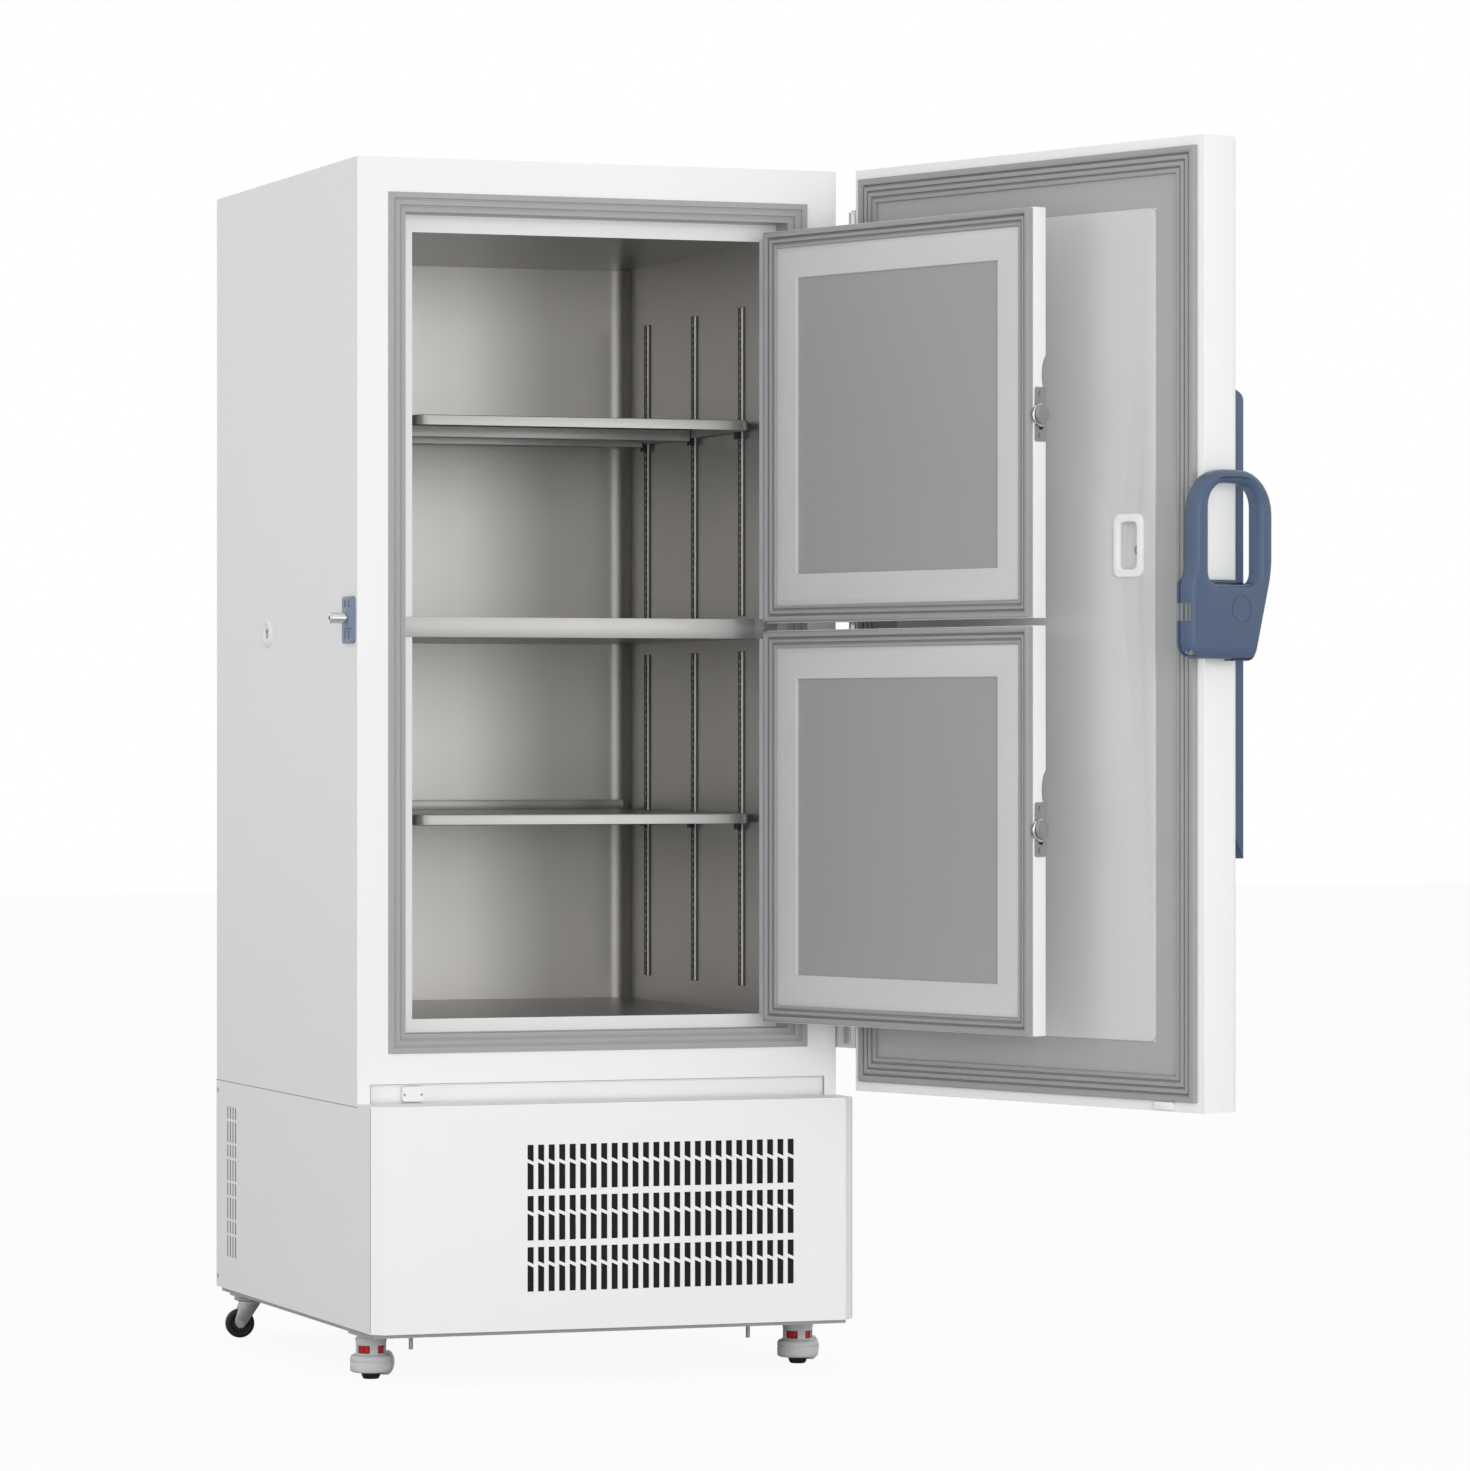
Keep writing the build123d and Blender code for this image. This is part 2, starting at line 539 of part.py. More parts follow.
with BuildPart() as striker_pin:
    with BuildSketch(sideways(STRIKER_PIN_TIP)):
        with Locations(STRIKER_PIN):
            Circle(STRIKER_PIN_R)
    extrude(amount=-HALF - STRIKER_THICK - STRIKER_PIN_TIP)
    chamfer(striker_pin.edges().group_by(Axis.X)[0], 1.5)
    with BuildSketch(sideways(-HALF - STRIKER_THICK)):
        with Locations(STRIKER_PIN):
            Circle(STRIKER_PIN_R * 0.6)
    extrude(amount=STRIKER_THICK)
    with BuildSketch(sideways(STRIKER_PIN_TIP)):
        with Locations(STRIKER_PIN):
            RegularPolygon(STRIKER_PIN_R * 0.45, 6)
    extrude(amount=5, mode=Mode.SUBTRACT)
pin_shapes = [striker_pin.part]
for z in LATCH_ZS.values():
    with BuildPart() as strike:
        with BuildSketch(facing(SEAT_Y)):
            with Locations((mid((INNER_X[0], FRAME_X[0] + RECESS)), z)):
                Circle(2.5)
        extrude(amount=10)
        fillet(strike.edges().group_by(Axis.Y)[0], 1)
    pin_shapes.append(strike.part)


def knuckle(axis, radius, bore, z):
    """A hinge knuckle round an upright pin."""
    with Locations((axis[0], axis[1], mid(z))):
        Cylinder(radius, span_length(z))
        Cylinder(bore, span_length(z), mode=Mode.SUBTRACT)


def side_leaf(y, arm_y, z):
    """A leaf on a right-hand edge face, with a cranked arm to the barrel of the outer hinge."""
    block((HALF, HALF + LEAF), y, z)
    with BuildSketch(Plane.XY.offset(z[0])) as arm:
        with BuildLine():
            Polyline((HALF, arm_y[0]), (HALF, arm_y[1]), (DOOR_AXIS[0], DOOR_AXIS[1] + BARREL_R * 0.7),
                     (DOOR_AXIS[0], DOOR_AXIS[1] - BARREL_R * 0.7), close=True)
        make_face()
    extrude(arm.sketch, amount=z[1] - z[0])


# Outer hinges: the cabinet leaf carries the lower knuckle and the pin, the door leaf the upper one
cabinet_leaves = []
door_leaves = []
for z in HINGE_ZS:
    half = z + HINGE_LENGTH / 2
    with BuildPart() as cabinet_leaf:
        side_leaf((2, LEAF_REACH), (2, 14), (z, half))
        knuckle(DOOR_AXIS, BARREL_R, PIN_R, (z, half))
    cabinet_leaves.append(cabinet_leaf.part)
    with BuildPart() as door_leaf:
        side_leaf((DOOR_INNER_Y - LEAF_REACH, DOOR_INNER_Y - 4), (DOOR_INNER_Y - 32, DOOR_INNER_Y - 18),
                  (half + KNUCKLE_GAP, z + HINGE_LENGTH))
        knuckle(DOOR_AXIS, BARREL_R, PIN_R + PIN_CLEARANCE, (half + KNUCKLE_GAP, z + HINGE_LENGTH))
    door_leaves.append(door_leaf.part)
    with BuildPart() as hinge_pin:
        with BuildSketch(Plane.XY.offset(z)):
            with Locations(DOOR_AXIS):
                Circle(PIN_R)
        extrude(amount=HINGE_LENGTH + 4)
        fillet(hinge_pin.edges().group_by(Axis.Z)[-1], 1.5)
    pin_shapes.append(hinge_pin.part)
keep("outer_door_hinge_leaves", Compound(door_leaves), OUTER)

# Inner hinges: thin leaves on the recess wall and on the front faces of the inner doors
WALL_X = FRAME_X[1] - RECESS
inner_leaves = {"upper": [], "lower": []}
for name, span in (("upper", UPPER_Z), ("lower", LOWER_Z)):
    for z in (span[0] + INNER_HINGE_INSET, span[1] - INNER_HINGE_INSET - INNER_HINGE_LENGTH):
        half = z + INNER_HINGE_LENGTH / 2
        with BuildPart() as frame_leaf:
            block((WALL_X - INNER_LEAF, WALL_X), (INNER_AXIS[1] - 2, SEAT_Y - 22), (z, half))
            block((INNER_AXIS[0], WALL_X), (INNER_AXIS[1] - 2, INNER_AXIS[1] + 2), (z, half))
            knuckle(INNER_AXIS, INNER_BARREL_R, INNER_PIN_R, (z, half))
        cabinet_leaves.append(frame_leaf.part)
        leaf_z = (half + KNUCKLE_GAP, z + INNER_HINGE_LENGTH)
        with BuildPart() as inner_leaf:
            block((INNER_X[1] - 40, INNER_X[1] - 4), (INNER_FRONT_Y - INNER_LEAF, INNER_FRONT_Y), leaf_z)
            block((INNER_X[1] - 4, INNER_AXIS[0]), (INNER_AXIS[1], INNER_FRONT_Y), leaf_z)
            knuckle(INNER_AXIS, INNER_BARREL_R, INNER_PIN_R + PIN_CLEARANCE, leaf_z)
        inner_leaves[name].append(inner_leaf.part)
        with BuildPart() as inner_pin:
            with BuildSketch(Plane.XY.offset(z)):
                with Locations(INNER_AXIS):
                    Circle(INNER_PIN_R)
            extrude(amount=INNER_HINGE_LENGTH + 2)
        pin_shapes.append(inner_pin.part)
keep("cabinet_hinge_leaves", Compound(cabinet_leaves))
keep("steel_pins", Compound(pin_shapes))

# Outer door: painted pan, foam core, plastic liner, centre sheet and finned gasket
with BuildPart() as outer_door_shell:
    block(DOOR_X, (DOOR_OUTER_Y, DOOR_INNER_Y), DOOR_Z)
    fillet(edges_at(outer_door_shell, DOOR_OUTER_Y), DOOR_EDGE_R)
    block(inset(DOOR_X, DOOR_SKIN), (DOOR_OUTER_Y + DOOR_SKIN, DOOR_INNER_Y), inset(DOOR_Z, DOOR_SKIN),
          mode=Mode.SUBTRACT)
    RELIEF_AT = (RELIEF_HOLE[0], RELIEF_HOLE[1])
    with BuildSketch(facing(DOOR_OUTER_Y)):
        with Locations(RELIEF_AT):
            Circle(RELIEF_HOLE[2] + 2)
    extrude(amount=-DOOR_SKIN, mode=Mode.SUBTRACT)
keep("outer_door_shell", outer_door_shell.part, OUTER)

# Relief port on the inner side of the outer door: a rimmed cup round the pressure relief tube
RELIEF_CUT = (inset(RELIEF_X, RELIEF_RIM - 3), inset(RELIEF_Z, RELIEF_RIM - 3))
PANEL_Y = DOOR_INNER_Y + DOOR_PANEL_PROUD
with BuildPart() as relief_port:
    with BuildSketch(facing(PANEL_Y + 2)):
        window(RELIEF_X, RELIEF_Z, 8)
    extrude(amount=2)
    with BuildSketch(facing(PANEL_Y)):
        window(*RELIEF_CUT, 6)
    extrude(amount=RELIEF_DEPTH)
    with BuildSketch(facing(PANEL_Y + 2)):
        window(inset(RELIEF_X, RELIEF_RIM), inset(RELIEF_Z, RELIEF_RIM), 4)
    extrude(amount=RELIEF_DEPTH, mode=Mode.SUBTRACT)
    with BuildSketch(facing(PANEL_Y - RELIEF_DEPTH)):
        with Locations(RELIEF_AT):
            Circle(RELIEF_HOLE[2] + 2)
    extrude(amount=PANEL_Y - RELIEF_DEPTH - DOOR_OUTER_Y)
    with BuildSketch(facing(PANEL_Y + 2)):
        with Locations(RELIEF_AT):
            Circle(RELIEF_HOLE[2])
    extrude(amount=PANEL_Y + 2 - DOOR_OUTER_Y, mode=Mode.SUBTRACT)

with BuildPart() as relief_valve:
    with BuildSketch(facing(DOOR_OUTER_Y)):
        with Locations(RELIEF_AT):
            Circle(RELIEF_KNOB_R)
    extrude(amount=18)
    fillet(edges_at(relief_valve, DOOR_OUTER_Y - 18), 4)
# Liner, core, centre sheet and gasket of the outer door
with BuildPart() as outer_door_liner:
    block(inset(DOOR_X, DOOR_SKIN), (DOOR_INNER_Y - DOOR_LINER, DOOR_INNER_Y), inset(DOOR_Z, DOOR_SKIN))
    with BuildSketch(facing(DOOR_INNER_Y)):
        window(*RELIEF_CUT, 6)
    extrude(amount=DOOR_LINER, mode=Mode.SUBTRACT)
keep("outer_door_liner", outer_door_liner.part, OUTER)

with BuildPart() as outer_door_foam:
    block(inset(DOOR_X, DOOR_SKIN), (DOOR_OUTER_Y + DOOR_SKIN, DOOR_INNER_Y - DOOR_LINER),
          inset(DOOR_Z, DOOR_SKIN))
    fillet(edges_at(outer_door_foam, DOOR_OUTER_Y + DOOR_SKIN), DOOR_EDGE_R)
    with BuildSketch(facing(DOOR_INNER_Y)):
        window(*RELIEF_CUT, 6)
    extrude(amount=DOOR_INNER_Y - PANEL_Y + RELIEF_DEPTH, mode=Mode.SUBTRACT)
    with BuildSketch(facing(DOOR_OUTER_Y)):
        with Locations(RELIEF_AT):
            Circle(RELIEF_HOLE[2] + 2)
    extrude(amount=-DOOR_THICKNESS, mode=Mode.SUBTRACT)
keep("outer_door_foam", outer_door_foam.part, OUTER)

with BuildPart() as outer_door_panel:
    with BuildSketch(facing(PANEL_Y)):
        window(inset(DOOR_X, DOOR_PANEL_INSET), inset(DOOR_Z, DOOR_PANEL_INSET), DOOR_PANEL_R)
        window(*RELIEF_CUT, 6, mode=Mode.SUBTRACT)
    extrude(amount=DOOR_PANEL_PROUD)
keep("outer_door_panel", outer_door_panel.part, OUTER)

with BuildPart() as outer_door_gasket:
    border(DOOR_X, DOOR_Z, DOOR_FINS[0][0], DOOR_FINS[-1][1], DOOR_INNER_Y + DOOR_FIN_BASE, DOOR_INNER_Y)
    for outer, inner, proud in DOOR_FINS:
        border(DOOR_X, DOOR_Z, outer, inner, DOOR_INNER_Y + proud, DOOR_INNER_Y)
    for proud in sorted({fin[2] for fin in DOOR_FINS}):
        fillet(edges_at(outer_door_gasket, DOOR_INNER_Y + proud), DOOR_FIN_R)
keep("outer_door_gasket", outer_door_gasket.part, OUTER)

# Small parts on the outer door: switch magnet, trim strip beside the handle, control panel
with BuildPart() as door_magnet:
    block(MAGNET_X, (DOOR_INNER_Y, SWITCH_FRONT - 2), MAGNET_Z)
    fillet(door_magnet.edges().filter_by(Axis.Y), 2)
keep("outer_door_fittings", Compound([relief_port.part, relief_valve.part, door_magnet.part]), OUTER)

with BuildPart() as handle_trim_strip:
    with BuildSketch(sideways(TRIM_X[0])):
        with BuildLine():
            Polyline((DOOR_OUTER_Y, TRIM_Z[0] + 2 * TRIM_PROUD), (DOOR_OUTER_Y, TRIM_Z[1]),
                     (DOOR_OUTER_Y - TRIM_PROUD, TRIM_Z[1] - TRIM_PROUD / 2),
                     (DOOR_OUTER_Y - TRIM_PROUD, TRIM_Z[0]), close=True)
        make_face()
    extrude(amount=span_length(TRIM_X))
    fillet(edges_at(handle_trim_strip, DOOR_OUTER_Y - TRIM_PROUD).filter_by(Axis.Z), TRIM_PROUD * 0.4)
keep("handle_trim_strip", handle_trim_strip.part, OUTER)

DISPLAY_Y = DOOR_OUTER_Y - DISPLAY_PROUD
SCREEN_Z = (mid(DISPLAY_Z) - 15, DISPLAY_Z[1] - 20)
with BuildPart() as control_panel:
    with BuildSketch(facing(DOOR_OUTER_Y)):
        window(DISPLAY_X, DISPLAY_Z, 12)
    extrude(amount=DISPLAY_PROUD)
    fillet(edges_at(control_panel, DISPLAY_Y), 2)
    with BuildSketch(facing(DISPLAY_Y)):
        window(inset(DISPLAY_X, 25), SCREEN_Z, 3)
        with Locations((0, DISPLAY_Z[0] + 28)):
            with GridLocations(34, 34, 4, 1):
                Circle(9)
    extrude(amount=-2.5, mode=Mode.SUBTRACT)
keep("control_panel", control_panel.part, OUTER)

with BuildPart() as control_glass:
    with BuildSketch(facing(DISPLAY_Y + 1)):
        window(inset(DISPLAY_X, 25), SCREEN_Z, 3)
        with Locations((0, DISPLAY_Z[0] + 28)):
            with GridLocations(34, 34, 4, 1):
                Circle(8.5)
    extrude(amount=-1.5)
keep("control_glass", control_glass.part, OUTER)

# Handle: a base with a pivot stud on the door's edge, and the lever with its loop and catch claw
BASE_X = (HANDLE_FAR + 2, DOOR_X[0])
BORE_X = (HANDLE_NEAR + HANDLE_WALL + 3, HANDLE_FAR)
with BuildPart() as handle_base:
    block(BASE_X, HANDLE_BASE_Y, HANDLE_BASE_Z)
    fillet(handle_base.edges().filter_by(Axis.X), 8)
    with BuildSketch(sideways(BORE_X[0] + 1)):
        with Locations(PIVOT):
            Circle(PIVOT_R)
    extrude(amount=BASE_X[0] - BORE_X[0] - 1)
keep("handle_base", handle_base.part, OUTER)

with BuildPart() as handle:
    with BuildSketch(sideways(LOOP_X[0])) as loop_face:
        with BuildLine():
            Polyline((HANDLE_Y[0], HANDLE_Z[0]), (LOOP_Y[0], LOOP_SILL + 22), (LOOP_Y[0], LOOP_TOP),
                     (LOOP_Y[1], LOOP_TOP), (LOOP_Y[1], HANDLE_Z[0]), close=True)
        make_face()
        fillet(loop_face.vertices().group_by(Axis.Y)[-1], LOOP_R)
        window(inset(LOOP_Y, LOOP_TUBE), (LOOP_SILL, LOOP_TOP - LOOP_TOP_TUBE), LOOP_R - LOOP_TUBE,
               mode=Mode.SUBTRACT)
    extrude(amount=span_length(LOOP_X))
    rims = handle.edges().group_by(Axis.X)
    fillet(rims[0] + rims[-1], LOOP_EDGE_R)
    block((HANDLE_NEAR, HANDLE_FAR), HANDLE_Y, HANDLE_Z)
    fillet(handle.edges().filter_by_position(Axis.X, HANDLE_NEAR - 0.01, HANDLE_NEAR + 0.01), 2.5)
    block((HANDLE_NEAR + HANDLE_WALL, HANDLE_FAR), inset(HANDLE_Y, HANDLE_WALL),
          (HANDLE_Z[0] + HANDLE_WALL, LOOP_SILL - 2 * HANDLE_WALL), mode=Mode.SUBTRACT)
    block((HANDLE_NEAR + HANDLE_WALL, HANDLE_FAR), (HANDLE_Y[1] - HANDLE_WALL, HANDLE_Y[1]),
          (STRIKER_PIN[1] - CATCH_MOUTH / 2, STRIKER_PIN[1] + CATCH_MOUTH / 2), mode=Mode.SUBTRACT)
    with BuildSketch(sideways(HANDLE_NEAR + HANDLE_WALL)):
        with Locations(PIVOT):
            Circle(BOSS_R)
    extrude(amount=HANDLE_FAR - HANDLE_NEAR - HANDLE_WALL)
    with BuildSketch(sideways(BORE_X[0])):
        with Locations(PIVOT):
            Circle(PIVOT_R + PIN_CLEARANCE)
    extrude(amount=span_length(BORE_X), mode=Mode.SUBTRACT)

with BuildPart() as handle_lock_cap:
    with BuildSketch(sideways(HANDLE_NEAR - CAP_THICK)):
        with Locations(PIVOT):
            Circle(CAP_R)
    extrude(amount=CAP_THICK)
    with BuildSketch(sideways(HANDLE_NEAR - CAP_THICK)):
        with Locations(PIVOT):
            SlotOverall(11, 3, rotation=90)
    extrude(amount=1, mode=Mode.SUBTRACT)
CLAW_R = STRIKER_PIN_R + 3
with BuildPart() as catch_claw:
    with BuildSketch(sideways(HANDLE_NEAR + HANDLE_WALL)):
        with Locations(STRIKER_PIN):
            Circle(CLAW_R + 8)
            Circle(CLAW_R, mode=Mode.SUBTRACT)
        with Locations((STRIKER_PIN[0] + CLAW_R, STRIKER_PIN[1])):
            Rectangle(2 * CLAW_R, 2 * CLAW_R, mode=Mode.SUBTRACT)
    extrude(amount=8)
keep("handle", Compound([handle.part, handle_lock_cap.part]), OUTER)
keep("catch_claw", catch_claw.part, OUTER)

# Inner doors: sheet pan, core, liner with its raised border, finned gasket and latch on the free edge
LINER_Y = (INNER_BACK_Y - INNER_LINER, INNER_BACK_Y)
LATCH_Y = mid((INNER_FRONT_Y, INNER_BACK_Y))
LATCH_X = INNER_X[0] - LATCH_PLATE[2]
for name, span in (("upper", UPPER_Z), ("lower", LOWER_Z)):
    with BuildPart() as inner_shell:
        block(INNER_X, (INNER_FRONT_Y, INNER_BACK_Y), span)
        fillet(edges_at(inner_shell, INNER_FRONT_Y), INNER_EDGE_R)
        block(inset(INNER_X, INNER_SKIN), (INNER_FRONT_Y + INNER_SKIN, INNER_BACK_Y),
              inset(span, INNER_SKIN), mode=Mode.SUBTRACT)
    with BuildPart() as inner_panel:
        block(inset(INNER_X, INNER_SKIN), LINER_Y, inset(span, INNER_SKIN))
        border(INNER_X, span, *INNER_BORDER, INNER_BACK_Y + INNER_BORDER_PROUD, INNER_BACK_Y)
        fillet(edges_at(inner_panel, INNER_BACK_Y + INNER_BORDER_PROUD), 1.5)
    with BuildPart() as inner_gasket:
        border(INNER_X, span, INNER_FINS[0][0], INNER_FINS[-1][1], INNER_BACK_Y + INNER_FIN_BASE,
               INNER_BACK_Y)
        for outer, inner, proud in INNER_FINS:
            border(INNER_X, span, outer, inner, INNER_BACK_Y + proud, INNER_BACK_Y)
            fillet(edges_at(inner_gasket, INNER_BACK_Y + proud), DOOR_FIN_R)
    with BuildPart() as latch_plate:
        with BuildSketch(sideways(LATCH_X)):
            with Locations((LATCH_Y, LATCH_ZS[name])):
                RectangleRounded(LATCH_PLATE[0], LATCH_PLATE[1], 4)
        extrude(amount=LATCH_PLATE[2])
        with BuildSketch(sideways(LATCH_X - 1)):
            with Locations((LATCH_Y, LATCH_ZS[name])):
                with GridLocations(LATCH_PLATE[1] - 20, LATCH_PLATE[1] - 20, 1, 2):
                    Circle(4)
        extrude(amount=1)
    with BuildPart() as latch_cam:
        with BuildSketch(sideways(LATCH_X - LATCH_CAM_THICK + 1)):
            with Locations((LATCH_Y, LATCH_ZS[name])):
                Circle(LATCH_CAM_R)
        extrude(amount=LATCH_CAM_THICK - 1)
        with BuildSketch(sideways(LATCH_X - LATCH_CAM_THICK)):
            with Locations((LATCH_Y, LATCH_ZS[name])):
                SlotOverall(1.6 * LATCH_CAM_R, 8, rotation=90)
        extrude(amount=1)
    keep(f"inner_door_{name}_shell", inner_shell.part, INNER)
    keep(f"inner_door_{name}_panel", inner_panel.part, INNER)
    keep(f"inner_door_{name}_gasket", inner_gasket.part, INNER)
    keep(f"inner_door_{name}_hardware", Compound(inner_leaves[name] + [latch_plate.part]), INNER)
    keep(f"inner_door_{name}_latch_cam", latch_cam.part, INNER)

# Machine compartment: front panel with chamfered corners and three rows of slots
SIDE_FRONT = PANEL_FRONT + PANEL_CHAMFER
with BuildPart() as front_grille_panel:
    with BuildSketch(Plane.XY.offset(BASE_BOTTOM)) as panel_plan:
        with BuildLine():
            Polyline((-HALF, SIDE_FRONT), (PANEL_CHAMFER - HALF, PANEL_FRONT),
                     (HALF - PANEL_CHAMFER, PANEL_FRONT), (HALF, SIDE_FRONT), close=True)
        make_face()
    extrude(amount=PANEL_TOP - BASE_BOTTOM)
    with BuildSketch(Plane.XY.offset(BASE_BOTTOM)) as hollow_plan:
        with BuildLine():
            Polyline((2 * SHEET - HALF, SIDE_FRONT), (PANEL_CHAMFER + SHEET - HALF, PANEL_FRONT + SHEET),
                     (HALF - PANEL_CHAMFER - SHEET, PANEL_FRONT + SHEET), (HALF - 2 * SHEET, SIDE_FRONT),
                     close=True)
        make_face()
    extrude(amount=PANEL_TOP - SHEET - BASE_BOTTOM, mode=Mode.SUBTRACT)
    block((SHEET - HALF, HALF - SHEET), (SIDE_FRONT, 0), (PANEL_TOP - SHEET, PANEL_TOP))
    grille_mid = GRILLE_X + (GRILLE_COLUMNS - 1) * GRILLE_PITCH / 2
    with BuildSketch(facing(PANEL_FRONT)):
        for bottom in GRILLE_ROW_BOTTOMS:
            with Locations((grille_mid, bottom + GRILLE_ROW_HEIGHT / 2)):
                with GridLocations(GRILLE_PITCH, GRILLE_PITCH, GRILLE_COLUMNS, 1):
                    Rectangle(GRILLE_SLOT, GRILLE_ROW_HEIGHT)
            with Locations((grille_mid, bottom + GRILLE_BAR_AT)):
                with GridLocations(GRILLE_PITCH, GRILLE_PITCH, GRILLE_COLUMNS, 1):
                    Rectangle(1.3 * GRILLE_SLOT, GRILLE_BAR, rotation=-GRILLE_SLANT, mode=Mode.SUBTRACT)
    extrude(amount=-SHEET, mode=Mode.SUBTRACT)
keep("front_grille_panel", front_grille_panel.part)

# Side panels with their vents, and the rear panel with a vent and the mains inlet
side_shapes = []
for side in (-1, 1):
    with BuildPart() as side_panel:
        block((side * HALF, side * (HALF - SHEET)), (SIDE_FRONT, DEPTH), (BASE_BOTTOM, CASE_BOTTOM))
        block((side * HALF, side * (HALF - SHEET)), (SIDE_FRONT, 0), (CASE_BOTTOM, PANEL_TOP))
        with BuildSketch(sideways(side * HALF)):
            level = VENT_TOP
            for length in VENT_ROWS:
                with Locations((VENT_Y + (VENT_COLUMNS - 1) * VENT_PITCH / 2, level - length / 2)):
                    with GridLocations(VENT_PITCH, VENT_PITCH, VENT_COLUMNS, 1):
                        Rectangle(VENT_SLOT, length)
                level -= length + VENT_GAP
        extrude(amount=-side * SHEET, mode=Mode.SUBTRACT)
    side_shapes.append(side_panel.part)

INLET_X = (-330.0, -290.0)
INLET_Z = (150.0, 178.0)
with BuildPart() as rear_panel:
    block(inset((-HALF, HALF), SHEET), (DEPTH - SHEET, DEPTH), (BASE_BOTTOM, CASE_BOTTOM))
    with BuildSketch(facing(DEPTH)):
        with Locations((60, mid((BASE_BOTTOM, CASE_BOTTOM)) + 20)):
            with GridLocations(30, 96, 14, 2):
                RectangleRounded(14, 80, 5)
        window(INLET_X, INLET_Z)
    extrude(amount=SHEET, mode=Mode.SUBTRACT)
keep("machine_panels", Compound(side_shapes + [rear_panel.part]))

with BuildPart() as mains_inlet:
    block(inset(INLET_X, -5), (DEPTH, DEPTH + 3), inset(INLET_Z, -5))
    block(INLET_X, (DEPTH - 30, DEPTH), INLET_Z)
    block(inset(INLET_X, 5), (DEPTH - 18, DEPTH + 3), inset(INLET_Z, 4), mode=Mode.SUBTRACT)
    for x in (-8, 0, 8):
        block((mid(INLET_X) + x - 1, mid(INLET_X) + x + 1), (DEPTH - 18, DEPTH - 4),
              (mid(INLET_Z) - 3, mid(INLET_Z) + 3))
keep("clips_and_mains_inlet", Compound(clip_shapes + [mains_inlet.part]))

# Base pan that carries the machinery and the casters, with two threaded studs under it
PAN_X = (PAN_SETBACK - HALF, HALF - PAN_SETBACK)
PAN_Y = (PANEL_FRONT + PANEL_CHAMFER + PAN_SETBACK, DEPTH - PAN_SETBACK)
with BuildPart() as base_pan:
    block(PAN_X, PAN_Y, (PAN_BOTTOM, BASE_BOTTOM + PAN_PLATE))
    block(inset(PAN_X, PAN_PLATE), inset(PAN_Y, PAN_PLATE), (PAN_BOTTOM, BASE_BOTTOM), mode=Mode.SUBTRACT)
    for y in (FRONT_CASTER_Y, REAR_CASTER_Y):
        block(PAN_X, (y - PAN_BEARER, y + PAN_BEARER), (PAN_BOTTOM, BASE_BOTTOM))
    block((-HALF + SHEET, HALF - SHEET), (PAN_Y[0], DEPTH - SHEET), (BASE_BOTTOM, BASE_BOTTOM + PAN_PLATE))
    for x, y in STUDS:
        with Locations((x, y, (PAN_BOTTOM - STUD[1] + BASE_BOTTOM) / 2)):
            Cylinder(STUD[0], STUD[1] + PAN_RIM)
keep("base_pan", base_pan.part)
DECK = BASE_BOTTOM + PAN_PLATE

# Two hermetic compressors of the cascade on rubber grommets
compressor_shapes = []
grommet_shapes = []
for x, y in COMPRESSORS:
    with BuildPart() as compressor:
        with Locations((x, y, DECK + GROMMET[1] + COMPRESSOR_HEIGHT / 2)):
            Cylinder(COMPRESSOR_R, COMPRESSOR_HEIGHT)
        fillet(compressor.edges().filter_by(GeomType.CIRCLE), COMPRESSOR_R * 0.45)
        block((x - COMPRESSOR_R - 15, x + COMPRESSOR_R + 15), (y - COMPRESSOR_R - 15, y + COMPRESSOR_R + 15),
              (DECK + GROMMET[1], DECK + GROMMET[1] + 3))
        with Locations((x, y - COMPRESSOR_R, DECK + COMPRESSOR_HEIGHT * 0.6)):
            Box(50, 60, 60)
    compressor_shapes.append(compressor.part)
    with BuildPart() as grommets:
        with Locations((x, y, DECK + GROMMET[1] / 2)):
            with GridLocations(2 * COMPRESSOR_R, 2 * COMPRESSOR_R, 2, 2):
                Cylinder(GROMMET[0], GROMMET[1])
    grommet_shapes.append(grommets.part)
keep("compressors", Compound(compressor_shapes + grommet_shapes))

# Air path behind the front grille: filter, condenser, shroud, fan motor and fan
with BuildPart() as air_filter:
    block(CONDENSER_X, FILTER_Y, (DECK, CONDENSER_TOP + 5))
keep("air_filter", air_filter.part)

with BuildPart() as condenser:
    block(CONDENSER_X, CONDENSER_Y, (DECK, CONDENSER_TOP))
    for x in CONDENSER_X:
        for bend in range(BENDS):
            with Locations((x, mid(CONDENSER_Y), DECK + BEND_PITCH * (bend + 1))):
                Cylinder(BEND_PITCH / 3, 8, rotation=(90, 0, 0))
keep("condenser", condenser.part)

with BuildPart() as fan_shroud:
    block(CONDENSER_X, (CONDENSER_Y[1], FAN_Y + 40), (DECK, CONDENSER_TOP))
    block(inset(CONDENSER_X, SHEET), (CONDENSER_Y[1], FAN_Y + 40 - SHEET), inset((DECK, CONDENSER_TOP), SHEET),
          mode=Mode.SUBTRACT)
    with Locations((FAN_CENTRE[0], FAN_Y + 40, FAN_CENTRE[1])):
        Cylinder(FAN_R + 8, 4 * SHEET, rotation=(90, 0, 0), mode=Mode.SUBTRACT)

